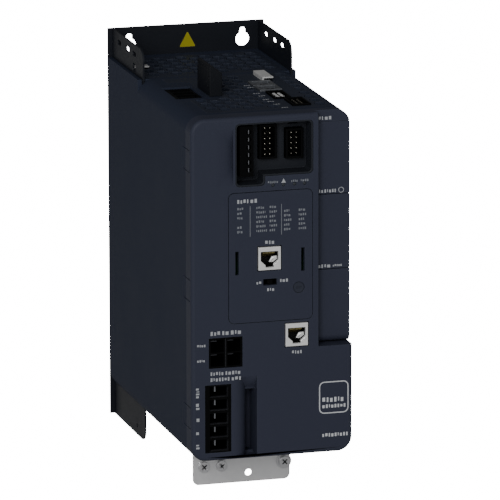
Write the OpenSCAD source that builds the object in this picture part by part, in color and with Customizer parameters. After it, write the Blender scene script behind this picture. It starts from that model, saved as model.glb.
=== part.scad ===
// Servo drive in a book-format housing, built as separate named pieces.
// Units are mm. +X is right seen from the front, the front faces -Y, +Z is up.
// The origin is the centre of the back plate's rear face, where the drive meets the wall.

/* [Body] */
// width of the housing and the back plate
body_w = 110; // [100:1:140]
// height of the housing
body_h = 230; // [225:1:290]
// depth from the wall to the front cover's face
body_d = 213; // [205:1:260]
// corner radius of the housing and the cover
corner_r = 10; // [6:0.5:14]
// wall thickness of the housing and the cover
wall_t = 2.5; // [1.6:0.1:3.5]
// depth of the rear part with square upper corners
rear_d = 80; // [66:1:90]
// depth of the front cover from its seam
cover_d = 13; // [11:0.5:18]

/* [Chassis] */
// height of the back plate
plate_h = 270; // [262:1:330]
// thickness of the back plate
plate_t = 2; // [1.5:0.1:3]
// depth of the side brackets from the wall
ear_d = 82; // [70:1:90]
// thickness of the side brackets
ear_t = 1.2; // [1:0.1:2]
// distance between the two keyholes
keyhole_pitch = 80; // [60:1:86]
// radius of a keyhole's round part
keyhole_r = 4.9; // [4:0.1:6]

/* [Front] */
// width of the option covers
option_w = 23.4; // [18:0.2:30]
// how far the option covers lie behind the front face
option_set = 7; // [4:0.5:9]
// width of the lettering panel
panel_w = 57.6; // [50:0.2:58]
// height of the lettering panel
panel_h = 88; // [80:1:92]
// depth of the control terminal recess
tray_d = 14; // [10:0.5:16]
// width of a modular jack
jack_w = 15.2; // [15:0.1:16.5]
// height of a modular jack
jack_h = 15.4; // [15:0.1:17]

/* [Power terminals] */
// pitch of the motor terminal's poles
motor_pitch = 9.1; // [8:0.1:10]
// width of the cable channel beside the motor terminal
channel_w = 15.8; // [12:0.2:16]
// depth of the cable channel
channel_d = 18; // [12:1:26]
// width of the ground plate
ground_w = 66.8; // [56:0.2:70]

/* [Cooling] */
// side of a fan frame
fan_s = 40; // [36:1:42]
// height of a fan frame
fan_h = 15; // [12:1:20]
// thickness of a heat sink fin
fin_t = 2; // [1.2:0.1:2.5]
// length of a grille hole from front to back
mesh_l = 9.4; // [5:0.1:10]

/* [Hidden] */
$fn = 48;
eps = 0.01;
fit = 0.25;
half_w = body_w / 2;
half_h = body_h / 2;
half_p = plate_h / 2;
in_x = half_w - wall_t;
in_z = half_h - wall_t;
seam_y = cover_d - body_d;
face_y = -body_d;
ear_x = in_x - 0.5;
ear_r = 8;

// front layout, measured from the top left corner of the housing
left = -half_w;
top = half_h;
col_x = half_w - option_w;
rib_x = col_x - 1.8;
col_y = face_y + option_set;
opt_t = 2.2;
opt_z = [top - 7.8, top - 56.7, top - 107.2, top - 157];
block_z = opt_z[3] - 0.3;
bend_r = 5;

// control recess
tray_x0 = left + 30;
tray_x1 = tray_x0 + 53;
tray_xs = tray_x0 + 20.3;
tray_z1 = top - 4.3;
tray_z0 = tray_z1 - 36;
tray_zs = tray_z0 - 6.4;
tray_y = face_y + tray_d;
tray_t = 1.2;

// lettering panel and what shows through it
panel_x0 = left + 25;
panel_x1 = panel_x0 + panel_w;
panel_z1 = top - 50.2;
panel_z0 = panel_z1 - panel_h;
panel_t = 1.9;
panel_y = face_y + 1.5;
panel_r = 4;
hmi_x = left + 53;
hmi_z = top - 95.4;
switch_x = left + 53.5;
switch_z = top - 111.4;
switch_w = 9.5;
switch_h = 4.4;
knob_w = 3.4;
knob_travel = 2.6;
latch_x = left + 73;
latch_z = top - 116.3;
latch_r = 3.5;
latch_ring = 0.35;
panel_gap = 0.45;
latch_bore = 1.6;
run_gap = 0.06;
slot_w = 2.4;
slot_h = 15.8;
slot_x = [left + 31, left + 75.8];
slot_z = top - 97.5;

// service jack and lights
service_x = left + 71.6;
service_z = top - 148.1;
light_x = [left + 55.6, left + 62.7, left + 70.2, left + 77];
light_z = top - 46.6;
light_r = 0.9;

// power connectors, measured from the bottom left corner
bottom = -half_h;
dc_x0 = left + 11.9;
dc_w = 11.1;
dc_gap = 0.3;
dc_z0 = bottom + 63;
dc_h = 20;
motor_x0 = left + 9.2;
motor_w = 17.4;
motor_z0 = bottom + 5.9;
motor_h = 5 * motor_pitch;
channel_x1 = left + 44.4;
channel_x0 = channel_x1 - channel_w;
channel_z0 = bottom + wall_t + 0.3;
channel_zf = bottom + 1.2;
channel_z1 = bottom + 46;
channel_t = 1.4;
channel_y = face_y + channel_d;
channel_round = min(channel_w - 5.6, channel_d - 1);
channel_step = 6;
channel_slope = 10;
scoop_d = 4;
jack_gap = 0.7;
snap_z = [top - 28.3, top - 114.8, top - 200.8];
snap_h = 15;
snap_w = 0.6;

// boards
board_t = 1.6;
bus_z = top - 17.6;
control_y = face_y + 25;
control_f = control_y - board_t;
carrier_y = control_y + 4;
carrier_t = 2;
output_y = face_y + 48;
control_x1 = rib_x - 0.6;
control_xs = left + 67;
control_zt = tray_z1 - 2.7;
control_zs = bus_z - board_t - 1;
control_zb = dc_z0 + dc_h + 4;
control_zl = service_z - jack_h / 2 - 4;
sink_y = -44;
sink_t = 8;
module_y = sink_y - sink_t;
power_y = module_y - 10;
power_f = power_y - board_t;

// top side
mains_x0 = left + 8.5;
mains_w = 19.5;
mains_y1 = -rear_d - 30;
mains_l = 37;
mains_z0 = top - 20;
guard_x0 = left + 31.6;
guard_w = 8.5;
guard_l = 31;
guard_h = 20;
guard_t = 1.5;
grille_x0 = left + 16;
grille_x1 = half_w - corner_r;
grille_xn = guard_x0 - 0.8;
grille_y1 = -rear_d - 3;
grille_y2 = -rear_d - 16;
grille_y3 = mains_y1 - mains_l - 5;
grille_y4 = seam_y + 5;
rear_x = half_w - 7;
rear_y1 = -10;
rear_y2 = -rear_d + 4;
bus_x0 = left + 67;
bus_y1 = -rear_d - 2;
bus_y2 = control_y + 1;
bus_jack_x = left + 75.5;
bus_jack_y = [-rear_d - 36.8, -rear_d - 36.8 - jack_w - 0.2];
encoder_x0 = left + 70.5;
encoder_w = 11.6;
encoder_l = 22;
encoder_y1 = -rear_d - 63;
pulse_x0 = left + 76.2;
pulse_w = 12.4;
pulse_l = 22;
pulse_y1 = -rear_d - 87;
stand_h = 1.2;
clamp_x0 = left + 79;
clamp_y1 = -rear_d - 4;
clamp_l = 23;
clamp_w = 7.6;
clamp_t = 1;

// grille mesh
mesh_px = 8.1;
mesh_py = 12;
mesh_r = mesh_px * 2 / 3 - (mesh_py - mesh_l) * 0.45;

// fans
fan_x = [-fan_s / 2 - 1, fan_s / 2 + 1];
fan_y = -3 - fan_s / 2;
fan_z0 = bottom + wall_t;
fan_bore = fan_s / 2 - 1.5;
hub_r = 8;
shaft_r = 1.5;
blade_n = 7;

// ground plate
ground_x0 = left + 11.5;
ground_x1 = ground_x0 + ground_w;
ground_t = 1.5;
ground_y = face_y + 41;
ground_z0 = bottom - 27;
ground_r = 4;
ground_foot = 24;
ground_screw_z = bottom - 14.4;
ground_screw_x = [ground_x0 + 7.2, ground_x0 + 19.4, ground_x1 - 4.3];
ground_hole_x = ground_x0 + 38.2;
ground_hole_z = bottom - 20.7;

// earth tab on the top side
tab_x0 = left + 5;
tab_w = 13;
tab_l = 6;
tab_y1 = -37;
tab_t = 1;

// a box between two corners
module box(a, b) {
    translate(a)
        cube(b - a);
}

// a flat outline in X and Z, carried forward from y by depth d
module sheet(y, d) {
    translate([0, y, 0])
        rotate([90, 0, 0])
            linear_extrude(d)
                children();
}

// a flat outline in X and Y, carried up from z by height h
module slab(z, h) {
    translate([0, 0, z])
        linear_extrude(h)
            children();
}

// a round pin along Y from y forward by d
module pin_y(x, z, y, d, r) {
    translate([x, y, z])
        rotate([90, 0, 0])
            cylinder(r = r, h = d);
}

// a rectangle with round corners between two corners
module rounded(a, b, r) {
    translate([a[0] + r, a[1]])
        square([b[0] - a[0] - 2 * r, b[1] - a[1]]);
    translate([a[0], a[1] + r])
        square([b[0] - a[0], b[1] - a[1] - 2 * r]);
    for (x = [a[0] + r, b[0] - r], z = [a[1] + r, b[1] - r])
        translate([x, z])
            circle(r);
}

// the body outline shrunk by t
module outline(t) {
    rounded([t - half_w, t - half_h], [half_w - t, half_h - t], corner_r - t);
}

// the rear outline: square above, round below
module rear_outline(t) {
    outline(t);
    translate([t - half_w, 0])
        square([body_w - 2 * t, half_h - t]);
}

// the middle of a hole of the mesh: every other column lies half a pitch forward
function hex_y(i, j) = (j - (abs(i) % 2) / 2) * mesh_py;
function inside(x, a, b, m) = x > a + m && x < b - m;

// one long hexagonal hole of the mesh
module hex_hole(i, j) {
    translate([i * mesh_px, hex_y(i, j)])
        polygon([[mesh_r, 0], [mesh_r / 2, mesh_l / 2], [-mesh_r / 2, mesh_l / 2],
            [-mesh_r, 0], [-mesh_r / 2, -mesh_l / 2], [mesh_r / 2, -mesh_l / 2]]);
}

// hexagonal holes inside a rectangle in X and Y
module mesh(a, b) {
    for (i = [floor(a[0] / mesh_px) : ceil(b[0] / mesh_px)])
        for (j = [floor(a[1] / mesh_py) : ceil(b[1] / mesh_py) + 1])
            if (inside(i * mesh_px, a[0], b[0], mesh_r)
                && inside(hex_y(i, j), a[1], b[1], mesh_l / 2))
                hex_hole(i, j);
}

module back_plate() {
    color("#1b1d22")
        difference() {
            box([-half_w, -plate_t, -half_p], [half_w, 0, half_p]);
            for (x = [-keyhole_pitch / 2, keyhole_pitch / 2]) {
                pin_y(x, half_p - 12.7, eps, plate_t + 2 * eps, keyhole_r);
                pin_y(x, half_p - 6.6, eps, plate_t + 2 * eps, 2.2);
                box([x - 2.2, -plate_t - eps, half_p - 12.7], [x + 2.2, eps, half_p - 6.6]);
                pin_y(x, 8.5 - half_p, eps, plate_t + 2 * eps, 2.6);
                box([x - 2.6, -plate_t - eps, -half_p - eps], [x + 2.6, eps, 8.5 - half_p]);
            }
            box([18 - half_w, -plate_t - eps, top - 9.5], [29 - half_w, eps, top - 6.5]);
        }
}

// a slot through the right bracket, half_l either way along Y and half_z along Z
module ear_slot(y, half_l, z, half_z) {
    slot_r = 1.7;
    box([ear_x - ear_t - 1, y - half_l, z - half_z - slot_r],
        [ear_x + 1, y + half_l, z + half_z + slot_r]);
    for (a = [-half_l, half_l], b = [-half_z, half_z])
        translate([ear_x - ear_t - 1, y + a, z + b])
            rotate([0, 90, 0])
                cylinder(r = slot_r, h = ear_t + 2);
}

// one folded side bracket, drawn on the right
module bracket() {
    color("#1b1d22")
        difference() {
            union() {
                box([ear_x - ear_t, ear_r - ear_d, -half_p], [ear_x, -plate_t, half_p]);
                box([ear_x - ear_t, -ear_d, ear_r - half_p], [ear_x, ear_r - ear_d, half_p - ear_r]);
                for (z = [ear_r - half_p, half_p - ear_r])
                    translate([ear_x - ear_t, ear_r - ear_d, z])
                        rotate([0, 90, 0])
                            cylinder(r = ear_r, h = ear_t);
            }
            for (y = [-21, -42, -60])
                ear_slot(y, 3, half_p - 6.4, 0);
            translate([ear_x - ear_t - eps, -62, 6.6 - half_p])
                rotate([0, 90, 0])
                    cylinder(r = 1.6, h = ear_t + 2 * eps);
        }
}

module right_bracket() {
    bracket();
}

module left_bracket() {
    mirror([1, 0, 0])
        difference() {
            bracket();
            ear_slot(-60, 2.4, half_p - 15.7, 1.2);
        }
}

module warning_triangle() {
    color("#e3c21c")
        sheet(-plate_t, 0.3)
            polygon([[-6.2, half_p - 16.6], [7.9, half_p - 16.6], [0.85, half_p - 3.4]]);
}

// the outlines of the plates let into the housing's top and bottom
module rear_opening() {
    translate([-rear_x, rear_y2])
        square([2 * rear_x, rear_y1 - rear_y2]);
}

module bottom_opening() {
    translate([corner_r + 1 - half_w, rear_y2])
        square([body_w - 2 * corner_r - 2, rear_y1 - rear_y2]);
}

module front_opening() {
    translate([grille_x0, grille_y2])
        square([grille_x1 - grille_x0, grille_y1 - grille_y2]);
    translate([grille_xn, grille_y3])
        square([grille_x1 - grille_xn, grille_y2 - grille_y3]);
    translate([grille_x0, grille_y4])
        square([grille_x1 - grille_x0, grille_y3 - grille_y4]);
}

// the grooves round the three snap tongues in the left wall, across the seam
module snap_grooves() {
    for (z = snap_z)
        difference() {
            box([left - eps, seam_y - 10, z - snap_h / 2], [left + snap_w, seam_y + 7, z + snap_h / 2]);
            box([left - 1, seam_y - 10 + snap_w, z - snap_h / 2 + snap_w],
                [left + 1, seam_y + 7 - snap_w, z + snap_h / 2 - snap_w]);
        }
}

module housing() {
    color("#2a2e3a")
        difference() {
            union() {
                sheet(-plate_t, body_d - cover_d - plate_t)
                    outline(0);
                sheet(-plate_t, rear_d - plate_t)
                    rear_outline(0);
            }
            sheet(-plate_t + eps, rear_d - wall_t - plate_t + eps)
                rear_outline(wall_t);
            sheet(-plate_t + eps, body_d - cover_d + eps)
                outline(wall_t);
            slab(in_z - eps, wall_t + 2 * eps)
                rear_opening();
            slab(in_z - eps, wall_t + 2 * eps)
                front_opening();
            slab(-half_h - eps, wall_t + 2 * eps)
                bottom_opening();
            for (x = [ear_t - ear_x, ear_x])
                box([x - ear_t - fit, -ear_d - fit, -half_h - eps], [x + fit, 0, corner_r - half_h]);
            for (x = [ear_t - ear_x, ear_x])
                box([x - ear_t - fit, -ear_d - fit, half_h - corner_r], [x + fit, 0, half_h + eps]);
            box([mains_x0, mains_y1 - mains_l, in_z - corner_r],
                [mains_x0 + mains_w, mains_y1, half_h + eps]);
            snap_grooves();
        }
}

module earth_tab() {
    color("#c3c6c9")
        box([tab_x0, tab_y1 - tab_l, top], [tab_x0 + tab_w, tab_y1, top + tab_t]);
}

module rear_grille() {
    color("#272b36")
        slab(in_z, wall_t)
            difference() {
                rear_opening();
                mesh([-rear_x + 1, rear_y2 + 1], [rear_x - 1, rear_y1 - 1]);
            }
}

module bottom_grille() {
    color("#272b36")
        slab(-half_h, wall_t)
            difference() {
                bottom_opening();
                mesh([corner_r + 2 - half_w, rear_y2 + 1], [half_w - corner_r - 2, rear_y1 - 1]);
            }
}

// everything that comes up through the front grille
module top_windows(gap) {
    for (y = bus_jack_y)
        translate([bus_jack_x - jack_w / 2 - gap, y - jack_w / 2 - gap])
            square([jack_w + 2 * gap, jack_w + 2 * gap]);
    translate([encoder_x0 - gap, encoder_y1 - encoder_l - gap])
        square([encoder_w + 2 * gap, encoder_l + 2 * gap]);
    translate([pulse_x0 - gap, pulse_y1 - pulse_l - gap])
        square([pulse_w + 2 * gap, pulse_l + 2 * gap]);
    translate([clamp_x0 - gap, clamp_y1 - clamp_l - gap])
        square([clamp_w + 2 * gap, clamp_l + 2 * gap]);
}

// true where the front grille is open: off the connectors' pad and off the guard's foot
function meshed(x, y) =
    (x < bus_x0 - 3.5 || x > half_w - 17 || (x > half_w - 19 && y > pulse_y1 + 4))
    && (x > guard_x0 + guard_w + 4 || y < grille_y3 - 3);

module front_grille() {
    color("#272b36")
        slab(in_z, wall_t)
            difference() {
                front_opening();
                top_windows(fit);
                for (i = [floor(grille_x0 / mesh_px) : ceil(grille_x1 / mesh_px)])
                    for (j = [floor(grille_y4 / mesh_py) : ceil(grille_y1 / mesh_py)])
                        if (inside(i * mesh_px, grille_x0, grille_x1, mesh_r)
                            && inside(hex_y(i, j), grille_y4, grille_y1, mesh_l / 2)
                            && meshed(i * mesh_px, hex_y(i, j)))
                            hex_hole(i, j);
            }
}

// the windows in the front cover, in X and Z
module tray_shape(t) {
    rounded([tray_x0 + t, tray_z0 + t], [tray_x1 - t, tray_z1 - t], 3 - t / 2);
    rounded([tray_x0 + t, tray_zs + t], [tray_xs - t, tray_z0 + 12], 3 - t / 2);
}

module jack_window(x, z, gap) {
    translate([x - jack_w / 2 - gap, z - jack_h / 2 - gap])
        square([jack_w + 2 * gap, jack_h + 2 * gap]);
}

module panel_windows() {
    jack_window(hmi_x, hmi_z, jack_gap);
    translate([switch_x - switch_w / 2, switch_z - switch_h / 2])
        square([switch_w, switch_h]);
    for (x = slot_x)
        translate([x - slot_w / 2, slot_z - slot_h / 2])
            square([slot_w, slot_h]);
}

module cover_windows() {
    tray_shape(0);
    panel_windows();
    jack_window(service_x, service_z, jack_gap);
    translate([dc_x0 - fit, dc_z0 - fit])
        square([2 * dc_w + dc_gap + 2 * fit, dc_h + 2 * fit]);
    translate([motor_x0 - fit, motor_z0 - fit])
        square([motor_w + 2 * fit, motor_h + 2 * fit]);
    for (x = light_x)
        translate([x, light_z])
            circle(light_r + 0.3);
}

// the finger scoop beside the control recess: it deepens to the right and from both ends
module scoop() {
    scoop_z0 = tray_zs + 1;
    scoop_z1 = tray_z1 - 3;
    intersection() {
        slab(scoop_z0, scoop_z1 - scoop_z0)
            polygon([[tray_x0 - 13, face_y - eps], [tray_x0 - 1.4, face_y - eps],
                [tray_x0 - 1.4, face_y + scoop_d]]);
        translate([tray_x0 - 14, 0, 0])
            rotate([90, 0, 90])
                linear_extrude(14)
                    polygon([[face_y - 1, scoop_z0], [face_y, scoop_z0],
                        [face_y + scoop_d, scoop_z0 + 12], [face_y + scoop_d, scoop_z1 - 12],
                        [face_y, scoop_z1], [face_y - 1, scoop_z1]]);
    }
}

// the cable channel cut out of the front: a flat right side, a rounded left side,
// the housing's wall for a floor, and a small step and a slope above
module cable_channel() {
    difference() {
        translate([channel_x0, 0, 0])
            rotate([90, 0, 90])
                linear_extrude(channel_w)
                    polygon([[face_y - eps, channel_zf], [seam_y - 2, channel_zf],
                        [seam_y - 2, channel_z0], [channel_y, channel_z0],
                        [channel_y, channel_z1], [face_y + channel_step, channel_z1],
                        [face_y + channel_step, channel_z1 + 1.4],
                        [face_y - eps, channel_z1 + channel_slope]]);
        translate([channel_x0, face_y + channel_round, -half_h])
            cylinder(r = channel_round, h = half_h);
        box([channel_x0 - 1, face_y + channel_round, -half_h],
            [channel_x0 + channel_round, channel_y + 1, 0]);
    }
}

module cover_ribs() {
    box([rib_x, face_y + eps, block_z], [rib_x + 1.6, seam_y, half_h - eps]);
    box([rib_x, face_y + eps, block_z - 2], [half_w - eps, seam_y, block_z]);
    box([channel_x0, face_y + eps, -half_h + eps],
        [channel_x1 + channel_t, seam_y - 0.5, channel_z1 + channel_slope + channel_t]);
    box([channel_x0 + channel_round - channel_t, seam_y - 1, channel_z0],
        [channel_x1 + channel_t, channel_y + channel_t, channel_z1 + channel_t]);
    box([tray_x0 - 14, face_y + eps, tray_zs], [tray_x0, face_y + scoop_d + 2, tray_z1 - 2]);
    box([rib_x, col_y + eps, opt_z[0]], [half_w, seam_y, half_h]);
}

module front_cover() {
    color("#2a2e3a")
        difference() {
            union() {
                difference() {
                    sheet(seam_y, cover_d)
                        outline(0);
                    sheet(seam_y + eps, cover_d - wall_t + eps)
                        outline(wall_t);
                }
                intersection() {
                    cover_ribs();
                    sheet(0, body_d)
                        outline(0);
                }
            }
            box([rib_x + 1.6, face_y - eps, block_z], [half_w + eps, col_y, half_h + eps]);
            box([rib_x + 1.6, face_y - eps, block_z], [half_w + eps, seam_y + eps, opt_z[0]]);
            cable_channel();
            snap_grooves();
            scoop();
            sheet(panel_y, 3)
                rounded([panel_x0, panel_z0], [panel_x1, panel_z1], panel_r);
            sheet(seam_y + eps, cover_d + 2 * eps)
                cover_windows();
            pin_y(latch_x, latch_z, seam_y, cover_d, latch_bore + 1.2);
        }
}

// one option cover between two heights: a front plate with a return at the right side
module option_cover(z0, z1) {
    box([rib_x + 1.6 + fit, col_y, z0 + 0.15], [half_w, col_y + opt_t, z1 - 0.15]);
    box([half_w - opt_t, col_y + eps, z0 + 0.15], [half_w, seam_y - 0.1, z1 - 0.15]);
    box([rib_x + 1.6 + fit, col_y + eps, z0 + 0.15],
        [rib_x + 1.6 + fit + opt_t, seam_y, z1 - 0.15]);
}

module option_cover_top() {
    color("#2a2e3a")
        intersection() {
            option_cover(opt_z[1], opt_z[0]);
            sheet(0, body_d)
                outline(0);
        }
}

module option_cover_middle() {
    color("#2a2e3a")
        option_cover(opt_z[2], opt_z[1]);
}

module option_cover_bottom() {
    color("#2a2e3a")
        difference() {
            option_cover(opt_z[3], opt_z[2]);
            difference() {
                box([rib_x, col_y - 1, opt_z[3] - 1],
                    [half_w + 1, col_y + bend_r, opt_z[3] + 0.15 + bend_r]);
                translate([rib_x - 1, col_y + bend_r, opt_z[3] + 0.15 + bend_r])
                    rotate([0, 90, 0])
                        cylinder(r = bend_r, h = option_w + 8);
            }
        }
}

module option_bay() {
    bay_x0 = rib_x + 1;
    bay_y = seam_y + 62;
    bay_z1 = bus_z - 3;
    bay_t = 1.2;
    color("#15171b")
        difference() {
            box([bay_x0, seam_y, block_z], [in_x, bay_y, bay_z1]);
            for (k = [0, 1, 2])
                box([bay_x0 + bay_t, seam_y - eps, max(opt_z[k + 1], block_z) + bay_t],
                    [in_x - bay_t, bay_y - bay_t, min(opt_z[k], bay_z1) - bay_t]);
        }
}

module option_sockets() {
    bay_y = seam_y + 62;
    color("#101114")
        for (k = [0, 1, 2])
            difference() {
                box([col_x + 8, bay_y - 9.2, (opt_z[k] + opt_z[k + 1]) / 2 - 14],
                    [col_x + 14, bay_y - 1.2, (opt_z[k] + opt_z[k + 1]) / 2 + 10]);
                box([col_x + 9.5, bay_y - 9.3, (opt_z[k] + opt_z[k + 1]) / 2 - 12.5],
                    [col_x + 12.5, bay_y - 3, (opt_z[k] + opt_z[k + 1]) / 2 + 8.5]);
            }
}

module control_tray() {
    color("#15171b")
        difference() {
            sheet(tray_y + tray_t, tray_d + tray_t - 0.4)
                tray_shape(0);
            sheet(tray_y, tray_d + 1)
                tray_shape(tray_t);
            control_windows(0.2);
        }
}

// terminal and headers on the control board
relay_x0 = tray_x0 + 4.4;
relay_z0 = tray_zs + 5.7;
relay_w = 9.3;
relay_pitch = 5.08;
relay_h = 6 * relay_pitch + 3.2;
io_x0 = tray_x0 + 19.3;
io_w = 11.8;
io_z1 = tray_z1 - 3.9;
io_h = 23;
sto_x0 = tray_x0 + 37.3;
sto_z1 = tray_z1 - 7.6;
sto_h = 20;
pin_pitch = 3.5;
pin_w = 0.8;

module control_windows(gap) {
    y0 = tray_y - 1;
    y1 = tray_y + tray_t + 1;
    box([relay_x0 - gap, y0, relay_z0 - gap], [relay_x0 + relay_w + gap, y1, relay_z0 + relay_h + gap]);
    box([io_x0 - gap, y0, io_z1 - io_h - gap], [io_x0 + io_w + gap, y1, io_z1 + gap]);
    box([sto_x0 - gap, y0, sto_z1 - sto_h - gap], [sto_x0 + io_w + gap, y1, sto_z1 + gap]);
    box([sto_x0 + 2.5, y0, sto_z1 + 2.6], [sto_x0 + 9.2, y1, sto_z1 + 4.8]);
}

module relay_terminal() {
    color("#0f1013")
        difference() {
            box([relay_x0, tray_y - 9, relay_z0], [relay_x0 + relay_w, control_f, relay_z0 + relay_h]);
            for (i = [0 : 5])
                pin_y(relay_x0 + relay_w - 3, relay_z0 + 1.6 + (i + 0.5) * relay_pitch,
                    tray_y - 1, 10, 1.7);
        }
}

// a shrouded header: walls round a block of pins
module header(x0, z1, h) {
    color("#0f1013")
        difference() {
            box([x0, tray_y - 4, z1 - h], [x0 + io_w, control_f, z1]);
            box([x0 + 1.4, tray_y - 5, z1 - h + 1.4], [x0 + io_w - 1.4, control_f - 2, z1 - 1.4]);
        }
}

module header_pins(x0, z1, h, n) {
    color("#c9b36a")
        for (i = [0 : n - 1], j = [0, 1])
            translate([x0 + io_w / 2 - pin_pitch / 2 + j * pin_pitch - pin_w / 2, tray_y - 2,
                z1 - h / 2 + (i - (n - 1) / 2) * pin_pitch - pin_w / 2])
                cube([pin_w, control_f - 2 - tray_y + 2, pin_w]);
}

module io_header() {
    header(io_x0, io_z1, io_h);
}

module io_pins() {
    header_pins(io_x0, io_z1, io_h, 6);
}

module safety_header() {
    header(sto_x0, sto_z1, sto_h);
}

module safety_pins() {
    header_pins(sto_x0, sto_z1, sto_h, 5);
}

module lettering_panel() {
    color("#2d313d")
        difference() {
            sheet(panel_y, panel_t)
                difference() {
                    rounded([panel_x0 + panel_gap, panel_z0 + panel_gap],
                        [panel_x1 - panel_gap, panel_z1 - panel_gap], panel_r - panel_gap);
                    panel_windows();
                }
            pin_y(latch_x, latch_z, panel_y + 1, panel_t + 2, latch_bore);
            pin_y(latch_x, latch_z, panel_y - panel_t + 0.9, 2, latch_r + latch_ring);
            pin_y(latch_x, latch_z, panel_y + 1, 1.45, latch_bore + 0.8);
        }
}

module panel_latch() {
    color("#20232b")
        difference() {
            union() {
                pin_y(latch_x, latch_z, panel_y - panel_t + 0.8, 0.8, latch_r);
                pin_y(latch_x, latch_z, panel_y - 0.05, panel_t - 0.15, latch_bore - run_gap);
                pin_y(latch_x, latch_z, panel_y - 0.05, 0.3, latch_bore + 0.7);
            }
            box([latch_x - 1.8, panel_y - panel_t - 1, latch_z - 0.6],
                [latch_x + 1.8, panel_y - panel_t + 0.6, latch_z + 0.6]);
        }
}

module status_lights() {
    color("#7f8a80")
        for (x = light_x)
            pin_y(x, light_z, control_f, control_f - face_y - 0.2, light_r);
}

module switch_body() {
    color("#101114")
        difference() {
            box([switch_x - switch_w / 2 - 1.2, face_y + 4, switch_z - switch_h / 2 - 1.2],
                [switch_x + switch_w / 2 + 1.2, control_f, switch_z + switch_h / 2 + 1.2]);
            box([switch_x - switch_w / 2, face_y + 3, switch_z - switch_h / 2],
                [switch_x + switch_w / 2, face_y + 8, switch_z + switch_h / 2]);
        }
}

module switch_slider() {
    color("#0b0c0e")
        union() {
            box([switch_x - knob_w / 2, face_y + 0.4, switch_z - switch_h / 2 + 0.8],
                [switch_x + knob_w / 2, face_y + 7.95, switch_z + switch_h / 2 - 0.8]);
            box([switch_x - knob_w / 2 - 0.2, face_y + 5.5, switch_z - switch_h / 2 + 0.05],
                [switch_x + knob_w / 2 + 0.2, face_y + 7.95, switch_z + switch_h / 2 - 0.05]);
        }
}

// a modular jack facing forward: a metal shell, hollow behind its window
module jack_shell(x, z, out) {
    color("#c3c6c9")
        difference() {
            box([x - jack_w / 2, face_y - out, z - jack_h / 2],
                [x + jack_w / 2, control_f, z + jack_h / 2]);
            box([x - jack_w / 2 + 1.3, face_y - 1, z - jack_h / 2 + 2.8],
                [x + jack_w / 2 - 1.3, control_f - 2, z + jack_h / 2 - 1.6]);
        }
}

// the moulded insert in a jack: a plug cavity with a latch step below
module jack_insert(d) {
    w = jack_w - 2.6;
    h = jack_h - 4.4;
    difference() {
        box([-w / 2, 0.6, -h / 2], [w / 2, d, h / 2]);
        box([-5.9, -1, h / 2 - 7.6], [5.9, d - 3, h / 2 - 0.7]);
        box([-3, -1, -h / 2 + 0.6], [3, d - 6, h / 2 - 7]);
    }
}

module hmi_jack() {
    jack_shell(hmi_x, hmi_z, 0.8);
}

module service_jack() {
    jack_shell(service_x, service_z, 0.4);
}

module fieldbus_jacks() {
    color("#c3c6c9")
        for (y = bus_jack_y)
            difference() {
                box([bus_jack_x - jack_w / 2, y - jack_w / 2, bus_z],
                    [bus_jack_x + jack_w / 2, y + jack_w / 2, top + stand_h]);
                box([bus_jack_x - jack_w / 2 + 1.6, y - jack_w / 2 + 3, bus_z + 2],
                    [bus_jack_x + jack_w / 2 - 1.6, y + jack_w / 2 - 1.5, top + stand_h + 1]);
            }
}

module jack_inserts() {
    color("#17181b")
        for (p = [[hmi_x, hmi_z], [service_x, service_z]])
            translate([p[0], face_y, p[1] + 0.6])
                jack_insert(control_f - 2 - face_y);
    color("#17181b")
        for (y = bus_jack_y)
            translate([bus_jack_x, y, top + stand_h])
                difference() {
                    box([-jack_w / 2 + 1.6, -jack_w / 2 + 3, bus_z + 2 - top - stand_h],
                        [jack_w / 2 - 1.6, jack_w / 2 - 1.5, -0.6]);
                    box([-jack_w / 2 + 2.4, -jack_w / 2 + 5.4, -12], [3.6, jack_w / 2 - 2.6, 1]);
                    box([-3, -jack_w / 2 + 3.6, -9], [3, jack_w / 2 - 2.6, 1]);
                }
}

module shield_clamp() {
    color("#c3c6c9")
        difference() {
            box([clamp_x0, clamp_y1 - clamp_l, bus_z], [clamp_x0 + clamp_w, clamp_y1, top + 2.6]);
            box([clamp_x0 + clamp_t, clamp_y1 - clamp_l - 1, bus_z + clamp_t],
                [clamp_x0 + clamp_w + 1, clamp_y1 - clamp_t, top + 2.6 - clamp_t]);
        }
}

// a header that faces up, with a block of sockets
module top_header(x0, y1, w, l, n) {
    difference() {
        box([x0, y1 - l, bus_z], [x0 + w, y1, top + stand_h]);
        box([x0 + 1.2, y1 - l + 1.2, top - 5], [x0 + w - 1.2, y1 - 1.2, top + stand_h + 1]);
    }
    for (i = [0 : n - 1], j = [0, 1])
        translate([x0 + w / 2 - 2.6 + j * 3.4, y1 - l / 2 + (i - (n - 1) / 2) * 3.4 - 0.9, top - 5 - eps])
            cube([1.8, 1.8, 5]);
}

module encoder_header() {
    color("#131417")
        top_header(encoder_x0, encoder_y1, encoder_w, encoder_l, 4);
}

module pulse_header() {
    color("#1a1415")
        top_header(pulse_x0, pulse_y1, pulse_w, pulse_l, 5);
}

module mains_connector() {
    cell = (mains_l - 2) / 4;
    color("#0f1013")
        difference() {
            box([mains_x0 + fit, mains_y1 - mains_l + fit, mains_z0],
                [mains_x0 + mains_w - fit, mains_y1 - fit, top - 1.2]);
            for (i = [0 : 3])
                box([mains_x0 + 4, mains_y1 - 1.8 - i * cell - cell + 1.4, mains_z0 + 3],
                    [mains_x0 + mains_w - 2, mains_y1 - 1.8 - i * cell, top]);
        }
}

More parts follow.
